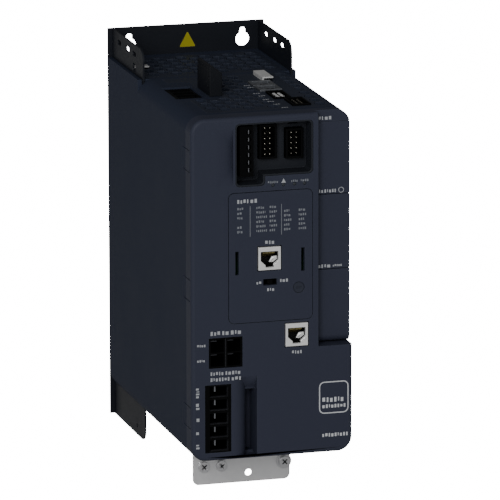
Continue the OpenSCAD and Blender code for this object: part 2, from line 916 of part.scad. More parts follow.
module mains_guard() {
    y1 = mains_y1 - 5;
    color("#23262e")
        difference() {
            box([guard_x0, y1 - guard_l, top], [guard_x0 + guard_w, y1, top + guard_h]);
            box([guard_x0 + guard_t, y1 - guard_l + guard_t, top - 1],
                [guard_x0 + guard_w - guard_t, y1 - guard_t, top + guard_h - guard_t]);
            translate([guard_x0 + 2, y1 - guard_l - 1, top + guard_h])
                rotate([0, 35, 0])
                    cube([20, guard_l + 2, 20]);
        }
}

module dc_bus_connectors() {
    color("#0f1013")
        for (k = [0, 1])
            difference() {
                box([dc_x0 + k * (dc_w + dc_gap), face_y, dc_z0],
                    [dc_x0 + k * (dc_w + dc_gap) + dc_w, output_y, dc_z0 + dc_h]);
                for (i = [0, 1])
                    box([dc_x0 + k * (dc_w + dc_gap) + 1.1, face_y - 1, dc_z0 + 1.1 + i * 9.3],
                        [dc_x0 + k * (dc_w + dc_gap) + dc_w - 1.1, output_y - 12, dc_z0 + 9.6 + i * 9.3]);
            }
}

module motor_connector() {
    color("#0f1013")
        difference() {
            union() {
                box([motor_x0, face_y, motor_z0], [motor_x0 + motor_w, output_y, motor_z0 + motor_h]);
                for (z = [motor_z0 + 8.6, motor_z0 + motor_h - 8.1])
                    box([motor_x0 + motor_w - eps, face_y + 0.4, z - 1.7],
                        [motor_x0 + motor_w + fit - 0.05, face_y + 8, z + 1.7]);
            }
            for (i = [0 : 4])
                box([motor_x0 + 3, face_y - 1, motor_z0 + i * motor_pitch + 0.8],
                    [motor_x0 + motor_w - 1.8, output_y - 12, motor_z0 + (i + 1) * motor_pitch - 0.8]);
        }
}

module power_contacts() {
    color("#b98a4a")
        for (i = [0 : 4])
            box([motor_x0 + 7, output_y - 24, motor_z0 + (i + 0.5) * motor_pitch - 0.5],
                [motor_x0 + 12, output_y - 12, motor_z0 + (i + 0.5) * motor_pitch + 0.5]);
    color("#b98a4a")
        for (k = [0, 1], i = [0, 1])
            box([dc_x0 + k * (dc_w + dc_gap) + 3.5, output_y - 24, dc_z0 + 5 + i * 9.3],
                [dc_x0 + k * (dc_w + dc_gap) + 7.5, output_y - 12, dc_z0 + 6 + i * 9.3]);
    color("#b98a4a")
        for (i = [0 : 3])
            translate([mains_x0 + 8, mains_y1 - 1.8 - (i + 0.5) * (mains_l - 2) / 4, mains_z0 + 3])
                cube([5, 1, 9]);
}

module ground_plate() {
    color("#a9abad")
        difference() {
            union() {
                sheet(ground_y, ground_t)
                    rounded([ground_x0, ground_z0], [ground_x1, bottom - 1], ground_r);
                box([ground_x0, ground_y - ground_t, bottom - ground_t - 4],
                    [ground_x1, ground_y, bottom]);
                box([ground_x0, ground_y - ground_t, bottom - ground_t],
                    [ground_x1, ground_y + ground_foot, bottom]);
            }
            pin_y(ground_hole_x, ground_hole_z, ground_y + 1, ground_t + 2, 2.35);
            for (x = ground_screw_x)
                pin_y(x, ground_screw_z, ground_y + 1, ground_t + 2, 2.3);
        }
}

module ground_screws() {
    color("#bfc1c2")
        for (x = ground_screw_x)
            difference() {
                union() {
                    lift = x == ground_screw_x[2] ? 1 : 0;
                    pin_y(x, ground_screw_z, ground_y + 5, ground_t + 5 + lift + eps, 2);
                    pin_y(x, ground_screw_z, ground_y - ground_t - lift, 2.4, 3.7);
                }
                for (a = [0, 90])
                    translate([x, ground_y - ground_t - 2.6, ground_screw_z])
                        rotate([0, 45 + a, 0])
                            cube([4.6, 2.6, 0.9], center = true);
            }
}

module ground_washer() {
    color("#b4b6b8")
        difference() {
            pin_y(ground_screw_x[2], ground_screw_z, ground_y - ground_t, 1, 5.2);
            pin_y(ground_screw_x[2], ground_screw_z, ground_y - ground_t + 1, 3, 2.3);
        }
}

module heat_sink() {
    n = 15;
    x1 = ear_x - ear_t;
    pitch = (2 * x1 - 8) / (n - 1);
    color("#8e9296")
        union() {
            box([-x1, module_y, -half_h + 30], [x1, sink_y, half_h - 14]);
            for (i = [0 : n - 1])
                box([-x1 + 4 + i * pitch - fin_t / 2, sink_y - eps, -half_h + 30],
                    [-x1 + 4 + i * pitch + fin_t / 2, -plate_t, half_h - 14]);
        }
}

module power_module() {
    color("#2b2c30")
        box([-35, power_y, -45], [35, module_y, 5]);
}

module power_board() {
    color("#1f5b3a")
        box([-in_x + 3, power_f, bottom + 18], [in_x - 3, power_y, top - 18]);
}

cap_r = 14.5;
cap_h = 50;

module dc_capacitors() {
    color("#22252c")
        for (x = [-33, 0], z = [-52, -20, 12])
            pin_y(x, z, power_f, cap_h, cap_r);
}

module filter_choke() {
    color("#8a4f25")
        difference() {
            pin_y(-28, top - 60, power_f, 16, 15);
            pin_y(-28, top - 60, power_f + 1, 18, 7);
        }
}

module transformer() {
    color("#3a3420")
        box([4, power_f - 24, top - 74], [32, power_f, top - 50]);
}

module current_sensors() {
    color("#1e2a4a")
        for (x = [-40, -20, 0])
            box([x, power_f - 15, bottom + 22], [x + 12, power_f, bottom + 38]);
}

module output_straps() {
    color("#b0713a")
        for (i = [0 : 4])
            box([motor_x0 + 4, output_y + board_t, motor_z0 + (i + 0.5) * motor_pitch - 3],
                [motor_x0 + 5.2, power_f, motor_z0 + (i + 0.5) * motor_pitch + 3]);
}

module output_board() {
    color("#1f5b3a")
        box([-in_x, output_y, -in_z + corner_r], [channel_x1 + 4, output_y + board_t,
            dc_z0 + dc_h + 3]);
}

module input_board() {
    color("#1f5b3a")
        union() {
            box([-in_x, mains_y1 - mains_l - 4, mains_z0 - board_t],
                [mains_x0 + mains_w + 6, -ear_d - 2, mains_z0]);
            box([6.5 - in_x, -ear_d - 3, mains_z0 - board_t],
                [mains_x0 + mains_w + 6, power_f, mains_z0]);
        }
}

module fieldbus_board() {
    color("#1f5b3a")
        box([bus_x0, bus_y2, bus_z - board_t], [in_x, bus_y1, bus_z]);
}

// outline of the control board and of its carrier, in X and Z
module control_shape(x0, x1) {
    translate([x0, control_zb])
        square([control_xs - x0, control_zt - corner_r - control_zb]);
    translate([x0 + corner_r, control_zt - corner_r - 1])
        square([control_xs - x0 - corner_r, corner_r + 1]);
    translate([control_xs - 1, control_zb])
        square([x1 - control_xs + 1, control_zs - control_zb]);
    translate([left + 57, control_zl])
        square([x1 - left - 57, control_zb - control_zl + 1]);
}

module board_carrier() {
    color("#1c1e24")
        sheet(carrier_y, carrier_t)
            control_shape(-in_x, rib_x + 1);
}

module control_board() {
    color("#1f5b3a")
        sheet(control_y, board_t)
            control_shape(-in_x + 1, control_x1);
}

standoff_r = 2.6;
board_xz = [[6.5 - in_x, bottom + 34], [in_x - 6.5, bottom + 34],
    [6.5 - in_x, top - 28], [in_x - 6.5, top - 28]];
carrier_xz = [[5 - in_x, control_zb + 5], [5 - in_x, control_zt - corner_r - 4],
    [left + 60, control_zl + 5], [control_x1 - 4, sto_z1 - sto_h - 7.3]];

module board_fasteners() {
    color("#b9bbbd")
        for (p = board_xz) {
            pin_y(p[0], p[1], module_y, module_y - power_y, standoff_r);
            pin_y(p[0], p[1], power_f, 2, standoff_r);
        }
    color("#b9bbbd")
        for (p = carrier_xz) {
            pin_y(p[0], p[1], carrier_y - carrier_t, carrier_y - carrier_t - control_y, standoff_r);
            pin_y(p[0], p[1], control_f, 2, standoff_r);
        }
}

// a fan frame at x, with a hub held by three arms and a fixed shaft
module fan_frame(x) {
    color("#17181b")
        translate([x, fan_y, fan_z0])
            union() {
                difference() {
                    translate([-fan_s / 2, -fan_s / 2, 0])
                        cube([fan_s, fan_s, fan_h]);
                    translate([0, 0, -1])
                        cylinder(r = fan_bore, h = fan_h + 2);
                }
                cylinder(r = hub_r, h = 2);
                cylinder(r = shaft_r, h = fan_h - 2);
                for (a = [0, 120, 240])
                    rotate(a)
                        translate([hub_r - 1, -1, 0])
                            cube([fan_bore - hub_r + 1.4, 2, 2]);
            }
}

module fan_rotor(x) {
    color("#202227")
        translate([x, fan_y, fan_z0])
            difference() {
                union() {
                    translate([0, 0, 2.5])
                        cylinder(r = hub_r, h = fan_h - 3.5);
                    for (i = [0 : blade_n - 1])
                        rotate(i * 360 / blade_n)
                            translate([hub_r - 1.5, 0, fan_h / 2 + 0.75])
                                rotate([40, 0, 0])
                                    translate([0, -6, -0.5])
                                        cube([fan_bore - hub_r, 12, 1]);
                }
                translate([0, 0, 2])
                    cylinder(r = shaft_r + run_gap, h = fan_h);
            }
}

module left_fan_frame() {
    fan_frame(fan_x[0]);
}

module right_fan_frame() {
    fan_frame(fan_x[1]);
}

module left_fan_rotor() {
    fan_rotor(fan_x[0]);
}

module right_fan_rotor() {
    fan_rotor(fan_x[1]);
}

back_plate();
left_bracket();
right_bracket();
warning_triangle();
housing();
earth_tab();
rear_grille();
front_grille();
bottom_grille();
front_cover();
option_cover_top();
option_cover_middle();
option_cover_bottom();
option_bay();
option_sockets();
control_tray();
lettering_panel();
panel_latch();
status_lights();
relay_terminal();
io_header();
io_pins();
safety_header();
safety_pins();
switch_body();
switch_slider();
hmi_jack();
service_jack();
fieldbus_jacks();
jack_inserts();
shield_clamp();
encoder_header();
pulse_header();
mains_connector();
mains_guard();
dc_bus_connectors();
motor_connector();
power_contacts();
ground_plate();
ground_screws();
ground_washer();
heat_sink();
power_module();
power_board();
dc_capacitors();
filter_choke();
transformer();
current_sensors();
output_straps();
output_board();
input_board();
fieldbus_board();
board_carrier();
control_board();
board_fasteners();
left_fan_frame();
right_fan_frame();
left_fan_rotor();
right_fan_rotor();
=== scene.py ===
"""Servo drive in a book-format housing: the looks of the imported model, piece by piece.

Units are metres, +X to the right seen from the front, the front faces -Y, +Z up.
"""
import math

import bmesh
import bpy
import numpy as np
from mathutils import Matrix, Vector


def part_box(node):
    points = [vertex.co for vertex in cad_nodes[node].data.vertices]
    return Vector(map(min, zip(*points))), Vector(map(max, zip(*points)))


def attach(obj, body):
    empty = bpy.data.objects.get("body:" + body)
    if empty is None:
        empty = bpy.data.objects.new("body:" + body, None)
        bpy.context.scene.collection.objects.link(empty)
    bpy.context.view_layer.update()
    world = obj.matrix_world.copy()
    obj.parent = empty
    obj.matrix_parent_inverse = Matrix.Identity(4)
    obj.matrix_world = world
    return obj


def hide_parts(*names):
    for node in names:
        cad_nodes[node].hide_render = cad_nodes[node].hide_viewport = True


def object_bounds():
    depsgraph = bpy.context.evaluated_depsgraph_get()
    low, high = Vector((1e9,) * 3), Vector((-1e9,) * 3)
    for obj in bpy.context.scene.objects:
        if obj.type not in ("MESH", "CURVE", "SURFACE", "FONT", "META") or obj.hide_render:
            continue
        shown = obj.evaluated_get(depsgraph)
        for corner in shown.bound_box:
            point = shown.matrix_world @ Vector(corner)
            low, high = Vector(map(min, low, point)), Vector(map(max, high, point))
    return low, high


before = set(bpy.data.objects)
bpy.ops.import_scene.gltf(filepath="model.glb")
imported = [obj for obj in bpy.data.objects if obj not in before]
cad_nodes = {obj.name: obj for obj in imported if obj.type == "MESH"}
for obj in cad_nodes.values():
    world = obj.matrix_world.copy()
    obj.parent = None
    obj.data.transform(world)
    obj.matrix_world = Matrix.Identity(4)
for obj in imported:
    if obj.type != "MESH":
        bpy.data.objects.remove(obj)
cad_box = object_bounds()
MM = 0.001


# ---- Camera ------------------------------------------------------------------------
# A long lens a little above the drive and to its left, so that the front, the left side
# and the top are seen together with almost parallel edges.
camera_azimuth = math.radians(-15.72)
camera_elevation = math.radians(13.42)
camera_roll = math.radians(-0.16)
camera_distance = 4.286
camera_target = Vector((0, -0.110, 0))
back = Vector((math.sin(camera_azimuth) * math.cos(camera_elevation),
               -math.cos(camera_azimuth) * math.cos(camera_elevation),
               math.sin(camera_elevation)))
right = Vector((math.cos(camera_azimuth), math.sin(camera_azimuth), 0))
camera_data = bpy.data.cameras.new("camera")
camera_data.lens = 460.8
camera_data.sensor_width = 36
camera_data.shift_x = 0.0407
camera_data.shift_y = 0.0042
camera_data.clip_end = 60
camera = bpy.data.objects.new("camera", camera_data)
turn = Matrix((right, back.cross(right), back)).transposed().to_4x4()
camera.matrix_world = (Matrix.Translation(camera_target + back * camera_distance) @ turn
                       @ Matrix.Rotation(camera_roll, 4, "Z"))
bpy.context.scene.collection.objects.link(camera)
bpy.context.scene.camera = camera


# ---- Floor and light ---------------------------------------------------------------
# A wide white floor under the lowest edge that the camera sees evenly lit, a sky that is
# bright in front and dim behind, and one large soft light in front on the left.
def plain_white():
    """A matt white for the floor; a glow that only the camera sees evens out its shading."""
    material = bpy.data.materials.new("floor_white")
    material.use_nodes = True
    shader = material.node_tree.nodes["Principled BSDF"]
    shader.inputs["Base Color"].default_value = (0.80, 0.80, 0.80, 1)
    shader.inputs["Roughness"].default_value = 0.9
    shader.inputs["Specular IOR Level"].default_value = 0.1
    shader.inputs["Emission Color"].default_value = (1, 1, 1, 1)
    seen = material.node_tree.nodes.new("ShaderNodeLightPath")
    glow = material.node_tree.nodes.new("ShaderNodeMath")
    glow.operation = "MULTIPLY"
    glow.inputs[1].default_value = 16
    material.node_tree.links.new(seen.outputs["Is Camera Ray"], glow.inputs[0])
    material.node_tree.links.new(glow.outputs["Value"], shader.inputs["Emission Strength"])
    return material


def soft_light(name, place, aim, size, power):
    """A square area light at a place, turned towards the point it lights."""
    data = bpy.data.lights.new(name, "AREA")
    data.size = size
    data.energy = power
    light = bpy.data.objects.new(name, data)
    way = Vector(aim) - Vector(place)
    light.matrix_world = Matrix.Translation(place) @ way.to_track_quat("-Z", "Y").to_matrix().to_4x4()
    bpy.context.scene.collection.objects.link(light)


floor_half = 30
floor_z = cad_box[0][2] - 0.0005
floor_mesh = bpy.data.meshes.new("floor")
floor_mesh.from_pydata([(-floor_half, -floor_half, floor_z), (floor_half, -floor_half, floor_z),
                        (floor_half, floor_half, floor_z), (-floor_half, floor_half, floor_z)],
                       [], [(0, 1, 2, 3)])
floor = bpy.data.objects.new("floor", floor_mesh)
floor_mesh.materials.append(plain_white())
bpy.context.scene.collection.objects.link(floor)

sky = bpy.data.worlds.new("sky")
sky.use_nodes = True
sky.node_tree.nodes["Background"].inputs["Color"].default_value = (1, 1, 1, 1)
sky_way = sky.node_tree.nodes.new("ShaderNodeTexCoord")
sky_parts = sky.node_tree.nodes.new("ShaderNodeVectorMath")
sky_parts.operation = "DOT_PRODUCT"
sky_parts.inputs[1].default_value = (0.3, 0.9, 0.1)
sky_range = sky.node_tree.nodes.new("ShaderNodeMapRange")
for label, value in (("From Min", -0.7), ("From Max", 0.6), ("To Min", 0.55), ("To Max", 0.08)):
    sky_range.inputs[label].default_value = value
sky.node_tree.links.new(sky_way.outputs["Generated"], sky_parts.inputs[0])
sky.node_tree.links.new(sky_parts.outputs["Value"], sky_range.inputs["Value"])
sky.node_tree.links.new(sky_range.outputs["Result"], sky.node_tree.nodes["Background"].inputs["Strength"])
bpy.context.scene.world = sky

soft_light("front_light", (-1.2, -2.5, 1.1), (0, -0.1, 0), 1.1, 42)


# ---- Back plate and side brackets --------------------------------------------------
# Folded sheet steel with a black powder coat: a flat plate that carries everything, and an
# ear bent forward on each side. The cut edges are broken, so they catch a thin light, and a
# painted highlight along them adds to it.
def grain_group():
    """Fine relief of a surface: two sizes of noise, given as a height and as a shade."""
    group = bpy.data.node_groups.new("surface_grain", "ShaderNodeTree")
    for label in ("Fine Scale", "Wide Scale", "Wide Share"):
        group.interface.new_socket(label, in_out="INPUT", socket_type="NodeSocketFloat")
    for label in ("Height", "Shade"):
        group.interface.new_socket(label, in_out="OUTPUT", socket_type="NodeSocketFloat")
    tree, link = group.nodes, group.links.new
    given = tree.new("NodeGroupInput")
    out = tree.new("NodeGroupOutput")
    place = tree.new("ShaderNodeTexCoord")
    fine = tree.new("ShaderNodeTexNoise")
    fine.inputs["Detail"].default_value = 2
    wide = tree.new("ShaderNodeTexNoise")
    wide.inputs["Detail"].default_value = 4
    for noise, label in ((fine, "Fine Scale"), (wide, "Wide Scale")):
        link(place.outputs["Object"], noise.inputs["Vector"])
        link(given.outputs[label], noise.inputs["Scale"])
    both = tree.new("ShaderNodeMix")
    link(given.outputs["Wide Share"], both.inputs["Factor"])
    link(fine.outputs["Fac"], both.inputs["A"])
    link(wide.outputs["Fac"], both.inputs["B"])
    link(fine.outputs["Fac"], out.inputs["Height"])
    link(both.outputs["Result"], out.inputs["Shade"])
    return group


def edge_group():
    """Painted highlight along edges, in patches: how far the normal of a rounded surface leaves the true one.
    """
    group = bpy.data.node_groups.new("patchy_edge_highlight", "ShaderNodeTree")
    group.interface.new_socket("Reach", in_out="INPUT", socket_type="NodeSocketFloat")
    group.interface.new_socket("Patches", in_out="INPUT", socket_type="NodeSocketFloat")
    group.interface.new_socket("Edge", in_out="OUTPUT", socket_type="NodeSocketFloat")
    tree, link = group.nodes, group.links.new
    given = tree.new("NodeGroupInput")
    out = tree.new("NodeGroupOutput")
    place = tree.new("ShaderNodeTexCoord")
    rounded = tree.new("ShaderNodeBevel")
    rounded.samples = 4
    true_normal = tree.new("ShaderNodeNewGeometry")
    dot = tree.new("ShaderNodeVectorMath")
    dot.operation = "DOT_PRODUCT"
    spread = tree.new("ShaderNodeMapRange")
    spread.inputs["From Min"].default_value = 0.995
    spread.inputs["From Max"].default_value = 0.80
    patches = tree.new("ShaderNodeTexNoise")
    patches.inputs["Detail"].default_value = 3
    highlight_patches = tree.new("ShaderNodeMapRange")
    highlight_patches.inputs["From Min"].default_value = 0.30
    highlight_patches.inputs["From Max"].default_value = 0.65
    mask = tree.new("ShaderNodeMath")
    mask.operation = "MULTIPLY"
    link(given.outputs["Reach"], rounded.inputs["Radius"])
    link(rounded.outputs["Normal"], dot.inputs[0])
    link(true_normal.outputs["Normal"], dot.inputs[1])
    link(dot.outputs["Value"], spread.inputs["Value"])
    link(place.outputs["Object"], patches.inputs["Vector"])
    link(given.outputs["Patches"], patches.inputs["Scale"])
    link(patches.outputs["Fac"], highlight_patches.inputs["Value"])
    link(spread.outputs["Result"], mask.inputs[0])
    link(highlight_patches.outputs["Result"], mask.inputs[1])
    link(mask.outputs["Value"], out.inputs["Edge"])
    return group


surface_grain = grain_group()
patchy_edge_highlight = edge_group()


def surface(name, colour, edge_highlight_colour, rough, metal=0.0, fine=2600, wide=40, spread=0.10, relief=0.02,
            reach=0.0006, gloss=0.22):
    """A finish: a base colour that the grain lightens and darkens, edges painted paler in
    patches as a painted highlight, and a roughness and a fine relief that follow the same grain."""
    material = bpy.data.materials.new(name)
    material.use_nodes = True
    tree, link = material.node_tree.nodes, material.node_tree.links.new
    shader = tree["Principled BSDF"]
    shader.inputs["Metallic"].default_value = metal
    shader.inputs["Specular IOR Level"].default_value = gloss
    grain = tree.new("ShaderNodeGroup")
    grain.node_tree = surface_grain
    grain.inputs["Fine Scale"].default_value = fine
    grain.inputs["Wide Scale"].default_value = wide
    grain.inputs["Wide Share"].default_value = 0.6
    tones = tree.new("ShaderNodeMix")
    tones.data_type = "RGBA"
    tones.inputs["A"].default_value = (*[c * (1 - spread) for c in colour], 1)
    tones.inputs["B"].default_value = (*[min(1, c * (1 + spread)) for c in colour], 1)
    link(grain.outputs["Shade"], tones.inputs["Factor"])
    # Painted highlight: the edges are mixed in patches towards the paler edge colour.
    edge = tree.new("ShaderNodeGroup")
    edge.node_tree = patchy_edge_highlight
    edge.inputs["Reach"].default_value = reach
    edge.inputs["Patches"].default_value = 90
    highlight_mix = tree.new("ShaderNodeMix")
    highlight_mix.data_type = "RGBA"
    highlight_mix.inputs["B"].default_value = (*edge_highlight_colour, 1)
    link(edge.outputs["Edge"], highlight_mix.inputs["Factor"])
    link(tones.outputs["Result"], highlight_mix.inputs["A"])
    link(highlight_mix.outputs["Result"], shader.inputs["Base Color"])
    rough_range = tree.new("ShaderNodeMapRange")
    rough_range.inputs["To Min"].default_value = rough - 0.08
    rough_range.inputs["To Max"].default_value = min(1, rough + 0.08)
    link(grain.outputs["Shade"], rough_range.inputs["Value"])
    link(rough_range.outputs["Result"], shader.inputs["Roughness"])
    bump = tree.new("ShaderNodeBump")
    bump.inputs["Strength"].default_value = 1
    bump.inputs["Distance"].default_value = relief * MM
    link(grain.outputs["Height"], bump.inputs["Height"])
    link(bump.outputs["Normal"], shader.inputs["Normal"])
    return material


def placed(name, mesh, finish, body, stands_for=()):
    """Makes the object of a finished mesh, gives it its finish, ties it to its body and hides the CAD nodes
    it stands for.
    """
    piece = bpy.data.objects.new(name, mesh)
    mesh.materials.clear()
    mesh.materials.append(finish)
    bpy.context.scene.collection.objects.link(piece)
    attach(piece, body)
    if stands_for:
        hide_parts(*stands_for)
    return piece


def clean_copy(node):
    """A node's mesh as a bmesh, with its triangles joined into whole faces."""
    shape = bmesh.new()
    shape.from_mesh(cad_nodes[node].data)
    bmesh.ops.remove_doubles(shape, verts=shape.verts, dist=2e-6)
    bmesh.ops.dissolve_limit(shape, angle_limit=math.radians(0.5), verts=shape.verts,
                             edges=shape.edges)
    return shape


def eased(node, width, finish, body="drive", shape=None, segments=2, smooth=35):
    """A CAD node with each sharp edge rounded off by the given width in millimetres."""
    shape = shape or clean_copy(node)
    mesh = bpy.data.meshes.new(node + "_skin")
    shape.to_mesh(mesh)
    shape.free()
    mesh.polygons.foreach_set("use_smooth", np.ones(len(mesh.polygons), bool))
    piece = placed(node + "_skin", mesh, finish, body, [node])
    round_off = piece.modifiers.new("edges", "BEVEL")
    round_off.width = width * MM
    round_off.segments = segments
    round_off.limit_method = "ANGLE"
    round_off.angle_limit = math.radians(smooth)
    round_off.use_clamp_overlap = True
    flatten = piece.modifiers.new("flat_faces", "WEIGHTED_NORMAL")
    flatten.weight = 100
    flatten.keep_sharp = True
    return piece


powder_coat = surface("black_powder_coat", (0.0066, 0.0080, 0.0122), (0.024, 0.028, 0.037), 0.48,
                      fine=1500, wide=60, spread=0.16, relief=0.03, reach=0.0005)
for node in ("back_plate", "left_bracket", "right_bracket"):
    eased(node, 0.3, powder_coat)


# ---- Warning triangle --------------------------------------------------------------
# A printed film on the back plate above the grille: a black triangle with round corners
# and a plain yellow one inside it, with no sign on it.
def rounded_loop(corners, radius, steps=6):
    """A closed outline whose corners are arcs: at each corner the arc turns from the normal of
    the side that comes in to the normal of the side that goes out."""
    corners = np.asarray(corners, float)
    before = corners - np.roll(corners, 1, 0)
    after = np.roll(corners, -1, 0) - corners
    before /= np.linalg.norm(before, axis=1)[:, None]
    after /= np.linalg.norm(after, axis=1)[:, None]
    half = np.arccos(np.clip((before * after).sum(1), -1, 1)) / 2
    inward = after - before
    inward /= np.linalg.norm(inward, axis=1)[:, None]
    centre = corners + inward * (radius / np.cos(half))[:, None]
    side = np.sign(before[:, 0] * after[:, 1] - before[:, 1] * after[:, 0])
    start = np.arctan2(-before[:, 0] * side, before[:, 1] * side)
    sweep = 2 * half * side
    t = np.linspace(0, 1, steps)
    angle = start[:, None] + sweep[:, None] * t[None, :]
    arc = centre[:, None, :] + radius * np.stack([np.cos(angle), np.sin(angle)], -1)
    return arc.reshape(-1, 2)


def carried(name, loops, cap_first=True, cap_last=True, join_ends=False):
    """A skin through k closed loops of n points: loop i meets loop i+1 in n quads, and the
    first and last loop are closed by a face, or meet each other."""
    loops = np.asarray(loops, float)
    k, n = loops.shape[:2]
    i, j = np.meshgrid(np.arange(k if join_ends else k - 1), np.arange(n), indexing="ij")
    here = i * n
    there = ((i + 1) % k) * n
    quads = np.stack([here + j, here + (j + 1) % n, there + (j + 1) % n, there + j], -1)
    faces = quads.reshape(-1, 4).tolist()
    if cap_first and not join_ends:
        faces.append(list(range(n - 1, -1, -1)))
    if cap_last and not join_ends:
        faces.append(list(range((k - 1) * n, k * n)))
    mesh = bpy.data.meshes.new(name)
    mesh.from_pydata(loops.reshape(-1, 3).tolist(), [], faces)
    fixed = bmesh.new()
    fixed.from_mesh(mesh)
    bmesh.ops.recalc_face_normals(fixed, faces=fixed.faces)
    fixed.to_mesh(mesh)
    fixed.free()
    return mesh


def on_front(outline, y):
    """A flat outline in X and Z as a loop of points at one depth y."""
    outline = np.asarray(outline, float)
    return np.column_stack([outline[:, 0], np.full(len(outline), y), outline[:, 1]])


triangle_lo, triangle_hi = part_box("warning_triangle")
triangle_corners = np.array([[triangle_lo[0], triangle_lo[2]], [triangle_hi[0], triangle_lo[2]],
                             [(triangle_lo[0] + triangle_hi[0]) / 2, triangle_hi[2]]])
triangle_centre = triangle_corners.mean(0)
film_black = surface("film_black", (0.012, 0.012, 0.013), (0.02, 0.02, 0.02), 0.4, spread=0.05)
film_yellow = surface("film_yellow", (0.30, 0.27, 0.012), (0.36, 0.33, 0.03), 0.45, spread=0.06)
film_y = triangle_lo[1]
film_step = 0.00004
triangle_parts = (("triangle_rim", 1.0, 0.0009, film_y, film_black, ["warning_triangle"]),
                  ("triangle_field", 0.81, 0.0006, film_y - film_step, film_yellow, []))
for name, share, radius, y, finish, stands_for in triangle_parts:
    outline = rounded_loop(triangle_centre + share * (triangle_corners - triangle_centre), radius)
    mesh = carried(name, [on_front(outline, triangle_hi[1]), on_front(outline, y)])
    placed(name, mesh, finish, "drive", stands_for)


# ---- Housing and grilles -----------------------------------------------------------
# A deep box moulded in dark blue-grey plastic with a spark-eroded skin, and three lattice
# plates with hexagonal holes let into its top and bottom for the cooling air.
housing_plastic = surface("housing_plastic", (0.0222, 0.0272, 0.0450), (0.036, 0.044, 0.066), 0.56,
                          fine=2400, wide=25, spread=0.05, relief=0.012, reach=0.0007, gloss=0.05)
# The grille's edge colour is much paler than its body: a painted highlight on the lattice ribs.
grille_plastic = surface("grille_plastic", (0.0205, 0.0250, 0.0390), (0.070, 0.080, 0.105), 0.52,
                         fine=2400, wide=25, spread=0.06, relief=0.012, reach=0.0006, gloss=0.10)
eased("housing", 0.5, housing_plastic)
for node in ("rear_grille", "front_grille", "bottom_grille"):
    eased(node, 0.25, grille_plastic, segments=1)


# ---- Front cover -------------------------------------------------------------------
# One moulding over the whole front: a wide soft edge all round its rim, and small radii
# where its windows, its finger scoop and its cable channel are cut.
cover_plastic = surface("cover_plastic", (0.0276, 0.0312, 0.0490), (0.047, 0.053, 0.074), 0.52,
                        fine=2400, wide=25, spread=0.05, relief=0.012, reach=0.0007, gloss=0.12)
rim_radius = 2.6
cover_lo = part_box("front_cover")[0]


def rim_edges(shape):
    """The edges where the cover's face meets its outside wall: both ends lie in the face, and
    one of the two faces that meet there looks away from the cover's middle."""
    chosen = []
    for edge in shape.edges:
        flat = all(abs(v.co.y - cover_lo[1]) < 1e-5 for v in edge.verts)
        if not flat or len(edge.link_faces) != 2:
            continue
        middle = (edge.verts[0].co + edge.verts[1].co) / 2
        outside = max(f.normal.x * np.sign(middle.x) * (abs(middle.x) > 0.044)
                      + f.normal.z * np.sign(middle.z) * (abs(middle.z) > 0.104)
                      for f in edge.link_faces)
        if outside > 0.5:
            chosen.append(edge)
    return chosen


cover_shape = clean_copy("front_cover")
bmesh.ops.bevel(cover_shape, geom=rim_edges(cover_shape), offset=rim_radius * MM,
                offset_type="OFFSET", segments=6, profile=0.5, affect="EDGES", clamp_overlap=True)
eased("front_cover", 0.4, cover_plastic, shape=cover_shape)


# ---- Option covers and the bay behind them -----------------------------------------
# Three blank covers that snap in one above the other, each over a deep slot with a plug
# socket at its back.
for node, body in (("option_cover_top", "cover_top"), ("option_cover_middle", "cover_middle"),
                   ("option_cover_bottom", "cover_bottom")):
    eased(node, 0.5, cover_plastic, body, segments=3)
tray_plastic = surface("tray_plastic", (0.0150, 0.0170, 0.0225), (0.034, 0.038, 0.048), 0.52,
                       fine=2600, wide=30, spread=0.08, relief=0.012, gloss=0.14)
socket_plastic = surface("socket_plastic", (0.0018, 0.0019, 0.0022), (0.016, 0.017, 0.019), 0.46,
                         fine=3000, wide=50, spread=0.10, relief=0.010, reach=0.0004, gloss=0.05)
eased("option_bay", 0.3, tray_plastic)
eased("option_sockets", 0.2, socket_plastic)


# ---- Control recess ----------------------------------------------------------------
# A dark tray let into the cover round a six-pole terminal with clamp blades, and two
# shrouded headers with two rows of plated pins each.
def blocks(name, low, high):
    """Many closed boxes in one mesh: corner c of box b takes each coordinate from low[b] or
    high[b] as the three bits of c say."""
    low = np.asarray(low, float).reshape(-1, 3)
    high = np.asarray(high, float).reshape(-1, 3)
    bits = np.array([[c & 1, c >> 1 & 1, c >> 2 & 1] for c in range(8)], float)
    corners = low[:, None, :] + (high - low)[:, None, :] * bits[None]
    sides = np.array([[0, 2, 3, 1], [4, 5, 7, 6], [0, 1, 5, 4], [2, 6, 7, 3], [0, 4, 6, 2], [1, 3, 7, 5]])
    faces = (np.arange(len(low))[:, None, None] * 8 + sides[None]).reshape(-1, 4)
    mesh = bpy.data.meshes.new(name)
    mesh.from_pydata(corners.reshape(-1, 3).tolist(), [], faces.tolist())
    return mesh


eased("control_tray", 0.4, tray_plastic)
for node in ("relay_terminal", "io_header", "safety_header"):
    eased(node, 0.2, socket_plastic)
pin_metal = surface("pin_plating", (0.42, 0.40, 0.34), (0.6, 0.58, 0.5), 0.32, metal=1.0, fine=900,
                    spread=0.1, relief=0.004, reach=0.0001)
for node in ("io_pins", "safety_pins"):
    eased(node, 0.12, pin_metal, segments=1)

relay_lo, relay_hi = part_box("relay_terminal")
relay_pitch = 5.08 * MM
relay_x = relay_hi[0] - 3 * MM
relay_z = relay_lo[2] + 1.6 * MM + (np.arange(6) + 0.5) * relay_pitch
blade_low = np.stack([np.full(6, relay_x - 0.25 * MM), np.full(6, relay_lo[1] + 0.9 * MM),
                      relay_z - 1.3 * MM], 1)
blade_high = np.stack([np.full(6, relay_x + 0.25 * MM), np.full(6, relay_lo[1] + 6 * MM),
                       relay_z + 1.3 * MM], 1)
blade_metal = surface("blade_tin", (0.24, 0.25, 0.27), (0.5, 0.5, 0.5), 0.4, metal=1.0, fine=900,
                      spread=0.15, relief=0.004, reach=0.0001)
placed("relay_blades", blocks("relay_blades", blade_low, blade_high), blade_metal, "drive")


